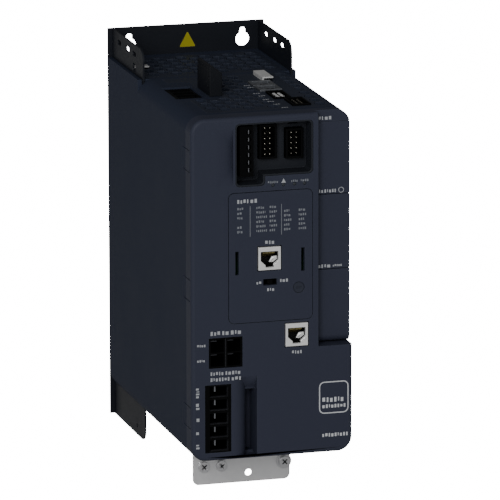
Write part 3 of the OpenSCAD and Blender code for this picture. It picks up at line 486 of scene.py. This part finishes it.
# ---- Lettering panel, latch, lights and switch -------------------------------------
# A flat panel that lifts off, held by a quarter-turn latch with a slot; four light guides
# show through the cover above it, and a slide switch sits in its lower middle.
eased("lettering_panel", 0.45, cover_plastic, "panel", segments=3)
latch_plastic = surface("latch_plastic", (0.0200, 0.0235, 0.0365), (0.036, 0.042, 0.054), 0.5,
                        spread=0.06, relief=0.01)
eased("panel_latch", 0.15, latch_plastic, "latch")
lens_plastic = surface("frosted_lens", (0.030, 0.034, 0.040), (0.08, 0.09, 0.1), 0.3, spread=0.05,
                       relief=0.006)
eased("status_lights", 0.2, lens_plastic)
eased("switch_body", 0.2, socket_plastic)
eased("switch_slider", 0.2, socket_plastic, "mode_knob")


# ---- Modular jacks -----------------------------------------------------------------
# Four eight-pole jacks: a bright tinned shell whose face is cut to the shape of a plug and
# its latch, a black insert with a bright spring tab inside, and eight gold wires under the roof.
jack_half_w = 7.6 * MM
jack_half_h = 7.7 * MM
jack_opening = np.array([[-6.0, 4.6], [6.0, 4.6], [6.0, -1.4], [2.8, -4.4], [2.8, -6.0], [-2.8, -6.0],
                         [-2.8, -4.4], [-6.0, -1.4]]) * MM
jack_metal = surface("jack_tin", (0.80, 0.80, 0.79), (0.9, 0.9, 0.9), 0.38, metal=0.55, fine=500,
                     wide=80, spread=0.05, relief=0.006, reach=0.0002)
dull_tin = surface("dull_tin", (0.16, 0.17, 0.19), (0.45, 0.46, 0.48), 0.4, metal=0.8, fine=500,
                   wide=400, spread=0.35, relief=0.006, reach=0.0004)
insert_plastic = surface("insert_plastic", (0.004, 0.004, 0.004), (0.01, 0.01, 0.01), 0.4,
                         spread=0.1, relief=0.006, reach=0.0002)
contact_gold = surface("contact_gold", (0.40, 0.34, 0.14), (0.6, 0.5, 0.25), 0.35, metal=0.8,
                       fine=900, spread=0.1, relief=0.003, reach=0.0001)


def facing_front(centre):
    """Takes points drawn as across, up and inwards to a jack that looks forward."""
    return lambda p: np.stack([centre[0] + p[..., 0], centre[1] + p[..., 2], centre[2] + p[..., 1]], -1)


def facing_up(centre):
    """Takes the same points to a jack that looks up, with its roof towards the wall."""
    return lambda p: np.stack([centre[0] + p[..., 0], centre[1] + p[..., 1], centre[2] - p[..., 2]], -1)


def at_depth(outline, depth):
    """A flat outline as points with one depth."""
    return np.column_stack([outline, np.full(len(outline), depth)])


def jack(name, to_place, half_h, stretch, length, finish, stands_for):
    """The shell is one closed skin: outside back, outside front, opening front, opening back.
    The insert is the opening's shape carried inwards to a closed end, a wall thick."""
    opening = jack_opening * [1, stretch]
    outside = np.array([[-jack_half_w, half_h], [jack_half_w, half_h], [jack_half_w, opening[2, 1]],
                        [jack_half_w, opening[3, 1]], [jack_half_w, -half_h], [-jack_half_w, -half_h],
                        [-jack_half_w, opening[6, 1]], [-jack_half_w, opening[7, 1]]])
    front, lip, wall = 0.0, 2.4 * MM, 0.35 * MM
    shell_loops = [at_depth(outside, length), at_depth(outside, front), at_depth(opening, front),
                   at_depth(opening, lip), at_depth(outside * 0.93, lip), at_depth(outside * 0.93, length)]
    shell = carried(name + "_shell", to_place(np.array(shell_loops)), join_ends=True)
    piece = placed(name + "_shell", shell, finish, "drive", stands_for)
    soften = piece.modifiers.new("edges", "BEVEL")
    soften.width = 0.25 * MM
    soften.segments = 2
    soften.limit_method = "ANGLE"
    depth = 11.5 * MM
    grown = opening * 1.04
    insert_loops = [at_depth(grown, depth + wall), at_depth(grown, lip), at_depth(opening * 0.985, lip),
                    at_depth(opening * 0.985, depth)]
    insert = carried(name + "_insert", to_place(np.array(insert_loops)))
    placed(name + "_insert", insert, insert_plastic, "drive")
    x = (np.arange(8) - 3.5) * 1.02 * MM
    wire = 0.30 * MM
    y_front, y_back = opening[0, 1] - 0.9 * MM, opening[0, 1] - 5.2 * MM
    low = np.stack([x - wire, np.full(8, y_front - 2 * wire), np.full(8, lip + 0.2 * MM)], 1)
    high = np.stack([x + wire, np.full(8, y_front), np.full(8, depth)], 1)
    wires = blocks(name + "_wires", low, high)
    points = np.array([v.co for v in wires.vertices])
    lean = (points[:, 2] - lip) / (depth - lip)
    points[:, 1] += (y_back - y_front) * np.clip(lean * 1.15, 0, 1)
    wires.vertices.foreach_set("co", to_place(points).reshape(-1))
    fixed = bmesh.new()
    fixed.from_mesh(wires)
    bmesh.ops.recalc_face_normals(fixed, faces=fixed.faces)
    fixed.to_mesh(wires)
    fixed.free()
    placed(name + "_wires", wires, contact_gold, "drive")
    tab = np.array([[0.6, -3.3], [3.4, -3.5], [5.6, -1.3], [5.5, 0.9], [2.6, 0.3]]) * MM
    tab_loops = np.array([at_depth(tab, lip + 2.6 * MM), at_depth(tab, lip + 2.3 * MM)])
    tab_loops[:, 2:4, 2] -= 1.6 * MM
    placed(name + "_shield_tab", carried(name + "_shield_tab", to_place(tab_loops)), finish, "drive")


hmi_lo, hmi_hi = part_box("hmi_jack")
service_lo, service_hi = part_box("service_jack")
bus_lo, bus_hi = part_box("fieldbus_jacks")
jack("hmi_jack", facing_front(((hmi_lo[0] + hmi_hi[0]) / 2, hmi_lo[1], (hmi_lo[2] + hmi_hi[2]) / 2)),
     jack_half_h, 1.0, hmi_hi[1] - hmi_lo[1], jack_metal, ["hmi_jack", "jack_inserts"])
jack("service_jack", facing_front(((service_lo[0] + service_hi[0]) / 2, service_lo[1],
                                   (service_lo[2] + service_hi[2]) / 2)),
     jack_half_h, 1.0, service_hi[1] - service_lo[1], jack_metal, ["service_jack"])
for number, y in enumerate((bus_hi[1] - jack_half_w, bus_lo[1] + jack_half_w), 1):
    jack("fieldbus_jack_%d" % number, facing_up(((bus_lo[0] + bus_hi[0]) / 2, y, bus_hi[2])),
         jack_half_w, 1.1, bus_hi[2] - bus_lo[2], dull_tin, ["fieldbus_jacks"])


# ---- Power connectors --------------------------------------------------------------
# Black plug-in terminals: five deep poles for the motor, four for the DC bus and four for
# the mains. Each pole has a thin raised rim and a tin-plated blade deep inside.
for node in ("dc_bus_connectors", "motor_connector", "mains_connector"):
    eased(node, 0.25, socket_plastic)
contact_metal = surface("tinned_contacts", (0.33, 0.32, 0.30), (0.6, 0.6, 0.55), 0.35, metal=1.0,
                        fine=900, spread=0.12, relief=0.004, reach=0.0002)
eased("power_contacts", 0.15, contact_metal, segments=1)
rim_plastic = surface("rim_plastic", (0.021, 0.022, 0.026), (0.055, 0.057, 0.065), 0.48, spread=0.08,
                      relief=0.008, reach=0.0003)


def pole_rims(name, centres, half_w, half_h, width, front, depth):
    """Square rims, each four thin bars round a pole, set just inside its mouth."""
    centres = np.asarray(centres, float)
    across = np.array([[-half_w, -half_h, half_w, width - half_h], [-half_w, half_h - width, half_w, half_h],
                       [-half_w, width - half_h, width - half_w, half_h - width],
                       [half_w - width, width - half_h, half_w, half_h - width]])
    x0 = (centres[:, None, 0] + across[None, :, 0]).ravel()
    z0 = (centres[:, None, 1] + across[None, :, 1]).ravel()
    x1 = (centres[:, None, 0] + across[None, :, 2]).ravel()
    z1 = (centres[:, None, 1] + across[None, :, 3]).ravel()
    low = np.stack([x0, np.full(len(x0), front), z0], 1)
    high = np.stack([x1, np.full(len(x0), front + depth), z1], 1)
    placed(name, blocks(name, low, high), rim_plastic, "drive")


motor_lo, motor_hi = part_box("motor_connector")
motor_pitch = (motor_hi[2] - motor_lo[2]) / 5
motor_front = motor_lo[1]
motor_x = motor_lo[0] + 9.3 * MM
motor_z = motor_lo[2] + (np.arange(5) + 0.5) * motor_pitch
pole_rims("motor_pole_rims", np.stack([np.full(5, motor_x), motor_z], 1), 6.6 * MM, 3.95 * MM, 0.38 * MM,
          motor_front + 0.9 * MM, 3 * MM)
tick_low = np.stack([np.full(5, motor_x - 2.6 * MM), np.full(5, motor_front + 2.5 * MM),
                     motor_z - 0.4 * MM], 1)
tick_high = np.stack([np.full(5, motor_x - 1.8 * MM), np.full(5, motor_front + 8 * MM),
                      motor_z + 3.3 * MM], 1)
placed("motor_pole_springs", blocks("motor_pole_springs", tick_low, tick_high), blade_metal, "drive")
dc_lo, dc_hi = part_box("dc_bus_connectors")
dc_pitch_x = (dc_hi[0] - dc_lo[0]) / 2
dc_centres = [[dc_lo[0] + dc_pitch_x * (i + 0.5), dc_lo[2] + 5.35 * MM + 9.3 * MM * j]
              for i in (0, 1) for j in (0, 1)]
dc_bars = np.array(dc_centres)
tab_low = np.stack([dc_bars[:, 0] - 4.3 * MM, np.full(4, dc_lo[1] + 0.8 * MM), dc_bars[:, 1] + 3.2 * MM], 1)
tab_high = np.stack([dc_bars[:, 0] - 0.3 * MM, np.full(4, dc_lo[1] + 5 * MM), dc_bars[:, 1] + 3.7 * MM], 1)
middle_x = (dc_lo[0] + dc_hi[0]) / 2
tab_low = np.vstack([tab_low, [middle_x - 0.15 * MM, dc_lo[1] + 0.1 * MM, dc_lo[2] + 0.5 * MM]])
tab_high = np.vstack([tab_high, [middle_x + 0.25 * MM, dc_lo[1] + 2 * MM, dc_hi[2] - 0.5 * MM]])
placed("dc_pole_ribs", blocks("dc_pole_ribs", tab_low, tab_high), rim_plastic, "drive")


# ---- Guard and the connectors on the top side --------------------------------------
# A hollow guard stands between the mains terminal and the grille; along the right edge are
# a bright shield clamp and two black headers with rows of contacts.
guard_plastic = surface("guard_plastic", (0.0060, 0.0070, 0.0098), (0.016, 0.018, 0.023), 0.5,
                        spread=0.06, relief=0.012, gloss=0.16)
eased("mains_guard", 0.5, guard_plastic)
eased("encoder_header", 0.2, socket_plastic)
eased("pulse_header", 0.2, socket_plastic)
eased("shield_clamp", 0.25, jack_metal)


def header_contacts(name, node, count, size, finish):
    """Two rows of square plated contacts on the blocks inside a header."""
    low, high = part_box(node)
    x = (low[0] + high[0]) / 2 + np.array([-1.7, 1.7]) * MM
    y = (low[1] + high[1]) / 2 + (np.arange(count) - (count - 1) / 2) * 3.4 * MM
    x, y = [v.ravel() for v in np.meshgrid(x, y)]
    z = np.full(len(x), high[2] - 1.2 * MM)
    half = size / 2
    mesh = blocks(name, np.stack([x - half, y - half, z - 0.1 * MM], 1),
                  np.stack([x + half, y + half, z + 0.5 * MM], 1))
    placed(name, mesh, finish, "drive")


header_contacts("encoder_contacts", "encoder_header", 4, 1.9 * MM, jack_metal)
header_contacts("pulse_contacts", "pulse_header", 5, 0.8 * MM, pin_metal)


# ---- Ground plate ------------------------------------------------------------------
# Galvanised sheet steel with round corners, folded under the housing, held by three pan
# head screws, one of them on a washer. A small bare tab of the same sheet lies on the top.
zinc_sheet = surface("zinc_sheet", (0.72, 0.72, 0.725), (0.8, 0.8, 0.8), 0.48, metal=0.75, fine=420,
                     wide=120, spread=0.07, relief=0.01, reach=0.0004)
screw_steel = surface("screw_zinc", (0.60, 0.60, 0.61), (0.85, 0.85, 0.85), 0.34, metal=0.9, fine=900,
                      wide=200, spread=0.10, relief=0.006, reach=0.0003)
eased("ground_plate", 0.3, zinc_sheet)
eased("earth_tab", 0.2, zinc_sheet)
eased("ground_screws", 0.3, screw_steel)
eased("ground_washer", 0.2, screw_steel)
screws_lo, screws_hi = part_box("ground_screws")
screw_z = (screws_lo[2] + screws_hi[2]) / 2
screw_x = np.array([screws_lo[0] + 3.7 * MM, screws_lo[0] + 15.9 * MM, screws_hi[0] - 3.7 * MM])
# Painted shade: a flat dark cross on each screw head stands for the shade in its cross recess.
recess_shade_dark = surface("recess_shade_dark", (0.02, 0.02, 0.022), (0.02, 0.02, 0.022), 0.6, metal=0.6, spread=0.1)
arm, half = 2.2, 0.32
bar = np.array([[-arm, -half], [-half, -half], [-half, -arm], [half, -arm], [half, -half], [arm, -half],
                [arm, half], [half, half], [half, arm], [-half, arm], [-half, half], [-arm, half]]) * MM
for number, (x, turn_by) in enumerate(zip(screw_x, (0.55, 0.35, 0.7)), 1):
    spin = np.array([[math.cos(turn_by), -math.sin(turn_by)], [math.sin(turn_by), math.cos(turn_by)]])
    cross = bar @ spin.T + [x, screw_z]
    front = (screws_lo[1] if number == 3 else screws_lo[1] + 1 * MM) + 0.02 * MM
    name = "screw_recess_shade_%d" % number
    placed(name, carried(name, [on_front(cross, front + 0.6 * MM), on_front(cross, front)]), recess_shade_dark,
           "drive")


# ---- Printed marks -----------------------------------------------------------------
# Pale ink printed on the cover, the panel, the option covers and the top: short blocks stand
# where legends go, and the badge is a plain ring with two lines.
ink = surface("pale_ink", (0.34, 0.35, 0.37), (0.34, 0.35, 0.37), 0.6, spread=0.12, fine=4000,
              relief=0.002, reach=0.00005)
faint_ink = surface("faint_ink", (0.17, 0.18, 0.20), (0.17, 0.18, 0.20), 0.6, spread=0.2, fine=4000,
                    relief=0.002, reach=0.00005)
ink_depth = 0.03 * MM
block_widths = np.array([0.62, 0.50, 0.70, 0.42, 0.66, 0.56, 0.30, 0.64, 0.52, 0.46])


def word(x0, x1, z0, z1, seed=0):
    """One word as a row of blocks between x0 and x1: the widths repeat a short pattern, the
    gaps are a third of the height, and each block's top or bottom steps in a little."""
    height = z1 - z0
    count = max(1, int(round((x1 - x0) / (0.78 * height))))
    widths = block_widths[(np.arange(count) + seed) % len(block_widths)]
    gap = 0.34 * height
    widths = widths / widths.sum() * max((x1 - x0) - gap * (count - 1), 0.2 * height * count)
    starts = x0 + np.concatenate([[0], np.cumsum(widths + gap)[:-1]])
    step = 0.16 * height * ((np.arange(count) + seed) % 3 == 1)
    drop = 0.16 * height * ((np.arange(count) + seed) % 4 == 2)
    return np.stack([starts, z0 + drop, starts + widths, z1 - step], 1)


def print_front(name, rows, y, body, finish=None):
    """Prints rectangles, given in millimetres as x0, z0, x1, z1, on a surface at depth y."""
    rows = np.concatenate([np.atleast_2d(r) for r in rows]) * MM
    low = np.stack([rows[:, 0], np.full(len(rows), y - ink_depth), rows[:, 1]], 1)
    high = np.stack([rows[:, 2], np.full(len(rows), y + ink_depth), rows[:, 3]], 1)
    placed(name, blocks(name, low, high), finish or ink, body)


panel_lo, panel_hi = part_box("lettering_panel")
panel_left = panel_lo[0] / MM
panel_top = panel_hi[2] / MM
panel_face = panel_lo[1]
print_front("panel_title", [word(panel_left + 5.7, panel_left + 13.2, panel_top - 6.8, panel_top - 4.2),
                            word(panel_left + 14.6, panel_left + 19.0, panel_top - 6.8, panel_top - 4.2, 4)],
            panel_face, "panel")
table_columns = ((5.7, 4.0, 0), (18.6, 7.2, 0), (27.6, 5.0, 0), (37.4, 5.0, 1), (47.4, 5.0, 1))
table_rows = []
for column, (offset, width, skip) in enumerate(table_columns):
    for row in range(skip, 6):
        if column == 0 and row == 3:
            continue
        length = width * (1, 0.72, 0.86)[(row + column) % 3]
        z = panel_top - 10.3 - 3.1 * row
        table_rows.append(word(panel_left + offset, panel_left + offset + length, z - 0.85, z + 0.75,
                               row + column))
print_front("panel_table", table_rows, panel_face, "panel", faint_ink)
panel_lines = [[panel_left + x - 0.2, panel_top - 29.3, panel_left + x + 0.2, panel_top - 8.8]
               for x in (14.4, 35.7)]
print_front("panel_lines", panel_lines, panel_face, "panel", faint_ink)
hmi_x, hmi_top = (hmi_lo[0] + hmi_hi[0]) / 2 / MM, hmi_hi[2] / MM
print_front("hmi_mark", [word(hmi_x - 3.0, hmi_x + 3.1, hmi_top + 1.9, hmi_top + 4.3, 2)], panel_face,
            "panel")
switch_lo, switch_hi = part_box("switch_slider")
switch_x, switch_z = (switch_lo[0] + switch_hi[0]) / 2 / MM, (switch_lo[2] + switch_hi[2]) / 2 / MM
print_front("switch_marks", [word(switch_x - 9.4, switch_x - 6.2, switch_z - 1.0, switch_z + 0.8, 1),
                             word(switch_x + 6.6, switch_x + 12.0, switch_z - 0.4, switch_z + 1.6, 3),
                             word(switch_x - 2.2, switch_x + 2.6, switch_z - 6.0, switch_z - 4.0, 5)],
            panel_face, "panel")

face_y = cover_lo[1]
lights_lo, lights_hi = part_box("status_lights")
lights_top = lights_hi[2] / MM
lights_left = lights_lo[0] / MM + 0.9
light_rows = (lights_top + 0.4, lights_top + 1.9)
print_front("light_marks", [word(lights_left - 3.6, lights_left + 3.2, light_rows[0], light_rows[1], 2),
                            word(lights_left + 12.4, lights_left + 16.6, light_rows[0], light_rows[1], 1),
                            word(lights_left + 18.8, lights_left + 24.0, light_rows[0], light_rows[1], 6)],
            face_y, "drive", faint_ink)
arrow_x, arrow_z = lights_left + 7.1, lights_top + 0.3
arrow = np.array([[arrow_x - 1.5, arrow_z], [arrow_x + 1.5, arrow_z], [arrow_x, arrow_z + 3.0]]) * MM
arrow_loops = [on_front(arrow, face_y + ink_depth), on_front(arrow, face_y - ink_depth)]
placed("light_arrow", carried("light_arrow", arrow_loops), ink, "drive")
service_x = (service_lo[0] + service_hi[0]) / 2 / MM
service_bottom = service_lo[2] / MM
service_word = word(service_x - 3.2, service_x + 3.4, service_bottom - 5.2, service_bottom - 3.0, 2)
print_front("service_mark", [service_word], face_y, "drive")
dc_left, dc_top = dc_lo[0] / MM, dc_hi[2] / MM
print_front("dc_marks", [word(dc_left + 1.0, dc_left + 7.4, dc_top + 2.0, dc_top + 4.7),
                         word(dc_left + 9.0, dc_left + 13.2, dc_top + 2.0, dc_top + 4.7, 3),
                         word(dc_left + 14.8, dc_left + 21.6, dc_top + 2.0, dc_top + 4.7, 5),
                         word(dc_left - 8.2, dc_left - 2.6, dc_top - 5.2, dc_top - 3.6, 2),
                         word(dc_left - 8.2, dc_left - 3.0, dc_top - 15.4, dc_top - 13.8, 4)],
            face_y, "drive")
motor_left, motor_top = motor_lo[0] / MM, motor_hi[2] / MM
print_front("motor_marks", [word(motor_left + 3.6, motor_left + 12.2, motor_top + 6.6, motor_top + 9.0),
                            word(motor_left + 13.8, motor_left + 23.8, motor_top + 6.6, motor_top + 9.0, 3),
                            word(motor_left + 3.6, motor_left + 16.4, motor_top + 2.6, motor_top + 5.0, 5),
                            word(motor_left + 18.0, motor_left + 24.2, motor_top + 2.6, motor_top + 5.0, 1)],
            face_y, "drive")
pole_marks = []
for index, height in enumerate((3.0, 1.8, 2.2, 4.2, 6.6)):
    centre = motor_lo[2] / MM + (index + 0.5) * motor_pitch / MM
    turned = word(centre - height / 2, centre + height / 2, 0, 2.3, index)
    pole_marks.append(np.stack([motor_left - 6.4 + turned[:, 1], turned[:, 0],
                                motor_left - 6.4 + turned[:, 3], turned[:, 2]], 1))
print_front("pole_marks", pole_marks, face_y, "drive")

column_x = 32.0
top_cover_lo, top_cover_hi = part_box("option_cover_top")
middle_cover_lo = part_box("option_cover_middle")[0]
column_face = top_cover_lo[1]
strip_z = top_cover_hi[2] / MM
print_front("option_mark_top", [word(column_x, column_x + 4.6, strip_z + 1.3, strip_z + 3.6, 1),
                                word(column_x + 5.8, column_x + 10.2, strip_z + 1.3, strip_z + 3.6, 4)],
            column_face, "drive")
lower_z = top_cover_lo[2] / MM
print_front("option_mark_middle", [word(column_x, column_x + 4.6, lower_z + 1.0, lower_z + 3.2, 2),
                                   word(column_x + 5.6, column_x + 13.4, lower_z + 1.0, lower_z + 3.2, 5)],
            column_face, "cover_top")
ring_angle = np.linspace(0, 2 * np.pi, 24, endpoint=False)
ring_centre = np.array([column_x + 17.0, lower_z + 2.3]) * MM


def ring_loop(radius, y):
    """A circle of the given radius round the mark's centre, at depth y."""
    outline = ring_centre + radius * MM * np.stack([np.cos(ring_angle), np.sin(ring_angle)], 1)
    return on_front(outline, y)


ring_loops = [ring_loop(1.9, column_face + ink_depth), ring_loop(1.9, column_face - ink_depth),
              ring_loop(1.5, column_face - ink_depth), ring_loop(1.5, column_face + ink_depth)]
ring = carried("option_ring", ring_loops, join_ends=True)
placed("option_ring", ring, ink, "cover_top")
lowest_z = middle_cover_lo[2] / MM
print_front("option_mark_bottom", [word(column_x, column_x + 4.6, lowest_z + 1.0, lowest_z + 3.2, 3),
                                   word(column_x + 5.6, column_x + 9.6, lowest_z + 1.0, lowest_z + 3.2, 6),
                                   word(column_x + 11.4, column_x + 17.4, lowest_z + 1.4, lowest_z + 2.8, 1)],
            column_face, "cover_middle")

badge_ink = surface("badge_ink", (0.50, 0.51, 0.53), (0.5, 0.51, 0.53), 0.6, spread=0.08, fine=4000,
                    relief=0.002, reach=0.00005)
top_marks = np.array([(10.1, -117.9), (10.5, -124.7), (9.1, -144.2), (10.5, -152.3), (9.8, -164.2),
                      (11.1, -171.1), (12.5, -180.2), (14.7, -191.6)])
mark_rows = np.vstack([word(x - 2.1, x + 2.1, y - 0.9, y + 0.9, index)
                       for index, (x, y) in enumerate(top_marks)]) * MM
housing_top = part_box("housing")[1][2]
mark_low = np.column_stack([mark_rows[:, :2], np.full(len(mark_rows), housing_top - ink_depth)])
mark_high = np.column_stack([mark_rows[:, 2:], np.full(len(mark_rows), housing_top + ink_depth)])
placed("top_marks", blocks("top_marks", mark_low, mark_high), ink, "drive")

badge_lo, badge_hi = np.array([31.9, -88.4]) * MM, np.array([52.2, -66.6]) * MM
badge_corners = [[badge_lo[0], badge_lo[1]], [badge_hi[0], badge_lo[1]], [badge_hi[0], badge_hi[1]],
                 [badge_lo[0], badge_hi[1]]]
inset = 0.75 * MM
badge_inner = [[badge_lo[0] + inset, badge_lo[1] + inset], [badge_hi[0] - inset, badge_lo[1] + inset],
               [badge_hi[0] - inset, badge_hi[1] - inset], [badge_lo[0] + inset, badge_hi[1] - inset]]
outer, inner = rounded_loop(badge_corners, 3.6 * MM), rounded_loop(badge_inner, 2.85 * MM)
badge = carried("badge_ring", [on_front(outer, face_y + ink_depth), on_front(outer, face_y - ink_depth),
                               on_front(inner, face_y - ink_depth), on_front(inner, face_y + ink_depth)],
                join_ends=True)
placed("badge_ring", badge, badge_ink, "drive")
print_front("badge_lines", [word(34.2, 48.6, -80.6, -77.4, 2), word(34.2, 50.0, -84.6, -82.2, 4)],
            face_y, "drive", badge_ink)
print_front("maker_line", [word(34.2, 51.6, -104.2, -101.8, 1)], face_y, "drive", badge_ink)


# ---- Power stage -------------------------------------------------------------------
# Inside, from the wall forward: an extruded heat sink, the power module, and the power board
# with its capacitors, choke, transformer and current sensors.
sink_metal = surface("sink_aluminium", (0.45, 0.46, 0.47), (0.7, 0.7, 0.7), 0.4, metal=1.0, fine=300,
                     wide=60, spread=0.08, relief=0.01, reach=0.0003)
eased("heat_sink", 0.2, sink_metal, segments=1)
module_plastic = surface("module_plastic", (0.03, 0.03, 0.032), (0.06, 0.06, 0.06), 0.5, spread=0.1)
eased("power_module", 0.6, module_plastic)
laminate = surface("green_laminate", (0.012, 0.075, 0.032), (0.2, 0.2, 0.1), 0.32, wide=500, fine=1800,
                   spread=0.35, relief=0.02, reach=0.0002)
for node in ("power_board", "output_board", "input_board", "fieldbus_board", "control_board"):
    eased(node, 0.1, laminate, segments=1)


def turned_shape(name, profile, centre, turns=48):
    """A profile of radius and distance forward, carried round an axis along Y."""
    angle = np.linspace(0, 2 * np.pi, turns, endpoint=False)
    profile = np.asarray(profile, float) * MM
    x = centre[0] + profile[:, None, 0] * np.cos(angle)[None]
    z = centre[2] + profile[:, None, 0] * np.sin(angle)[None]
    y = np.broadcast_to(centre[1] - profile[:, None, 1], x.shape)
    mesh = carried(name, np.stack([x, y, z], -1))
    mesh.polygons.foreach_set("use_smooth", np.ones(len(mesh.polygons), bool))
    mesh.set_sharp_from_angle(angle=math.radians(40))
    return mesh


sleeve = surface("capacitor_sleeve", (0.02, 0.03, 0.06), (0.05, 0.06, 0.09), 0.25, spread=0.06, relief=0.006)
caps_lo, caps_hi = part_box("dc_capacitors")
cap_radius, cap_height = 14.5, (caps_hi[1] - caps_lo[1]) / MM
cap_profile = [(cap_radius - 1, 0), (cap_radius, 0.8), (cap_radius, 4), (cap_radius - 0.9, 5),
               (cap_radius - 0.9, 5.8), (cap_radius, 6.8), (cap_radius, cap_height - 1),
               (cap_radius - 1, cap_height), (cap_radius - 2.2, cap_height),
               (cap_radius - 2.6, cap_height - 0.5), (1.0, cap_height - 0.5)]
cap_x = (caps_lo[0] + cap_radius * MM, caps_hi[0] - cap_radius * MM)
cap_z = np.linspace(caps_lo[2] + cap_radius * MM, caps_hi[2] - cap_radius * MM, 3)
for number, (x, z) in enumerate(((x, z) for x in cap_x for z in cap_z), 1):
    name = "dc_capacitor_%d" % number
    placed(name, turned_shape(name, cap_profile, (x, caps_hi[1], z)), sleeve, "drive",
           ["dc_capacitors"])

# The choke is a ring core with one layer of enamelled copper wire wound round it.
copper = surface("enamelled_copper", (0.42, 0.13, 0.04), (0.6, 0.3, 0.15), 0.25, metal=0.8, fine=900,
                 spread=0.12, relief=0.004, reach=0.0002)
core_paint = surface("core_paint", (0.02, 0.05, 0.03), (0.04, 0.08, 0.05), 0.5, spread=0.1)
choke_lo, choke_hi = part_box("filter_choke")
choke_centre = (choke_lo + choke_hi) / 2
core_r, core_half, core_axial = 11.0, 3.1, 7.1
core_corners = rounded_loop([[core_r - core_half, -core_axial], [core_r + core_half, -core_axial],
                             [core_r + core_half, core_axial], [core_r - core_half, core_axial]], 1.2)
core_angle = np.linspace(0, 2 * np.pi, 48, endpoint=False)[:, None]
core_loops = np.stack([choke_centre[0] + core_corners[None, :, 0] * np.cos(core_angle) * MM,
                       np.broadcast_to(choke_centre[1] + core_corners[None, :, 1] * MM,
                                       (48, len(core_corners))),
                       choke_centre[2] + core_corners[None, :, 0] * np.sin(core_angle) * MM], -1)
placed("choke_core", carried("choke_core", core_loops, join_ends=True), core_paint, "drive",
       ["filter_choke"])
windings, wire_r = 26, 0.42
t = np.linspace(0, 2 * np.pi, windings * 24, endpoint=False)
swing = windings * t
radial = core_r + (core_half + 0.45) * np.sign(np.cos(swing)) * np.abs(np.cos(swing)) ** 0.5
axial = (core_axial + 0.45) * np.sign(np.sin(swing)) * np.abs(np.sin(swing)) ** 0.5
wire_path = np.stack([radial * np.cos(t), axial, radial * np.sin(t)], 1)
along = np.roll(wire_path, -1, 0) - np.roll(wire_path, 1, 0)
along /= np.linalg.norm(along, axis=1)[:, None]
sideways = np.cross(along, np.stack([-np.sin(t), np.zeros_like(t), np.cos(t)], 1))
sideways /= np.linalg.norm(sideways, axis=1)[:, None]
upwards = np.cross(along, sideways)
round_angle = np.linspace(0, 2 * np.pi, 8, endpoint=False)
wire_loops = (wire_path[:, None] + wire_r * (np.cos(round_angle)[None, :, None] * sideways[:, None]
                                             + np.sin(round_angle)[None, :, None] * upwards[:, None]))
wire_loops = wire_loops * MM + np.array(choke_centre)
winding = carried("choke_winding", wire_loops, join_ends=True)
winding.polygons.foreach_set("use_smooth", np.ones(len(winding.polygons), bool))
placed("choke_winding", winding, copper, "drive")

tape = surface("transformer_tape", (0.30, 0.20, 0.03), (0.4, 0.3, 0.1), 0.3, spread=0.08)
sensor_plastic = surface("sensor_plastic", (0.012, 0.03, 0.10), (0.03, 0.05, 0.14), 0.45, spread=0.06)
strap_copper = surface("strap_copper", (0.45, 0.18, 0.07), (0.7, 0.4, 0.2), 0.35, metal=1.0, spread=0.12)
eased("transformer", 1.2, tape, segments=3)
eased("current_sensors", 0.6, sensor_plastic)
eased("output_straps", 0.2, strap_copper, segments=1)
eased("board_carrier", 0.3, tray_plastic)
eased("board_fasteners", 0.2, screw_steel)


# ---- Fans --------------------------------------------------------------------------
# Two axial fans at the foot of the heat sink: a square frame with a fixed shaft, and a hub
# with seven swept blades that turns on it.
fan_plastic = surface("fan_plastic", (0.008, 0.008, 0.009), (0.02, 0.02, 0.022), 0.45, spread=0.08)
for side in ("left", "right"):
    eased(side + "_fan_frame", 0.3, fan_plastic)
    eased(side + "_fan_rotor", 0.15, fan_plastic, side + "_rotor", segments=1)
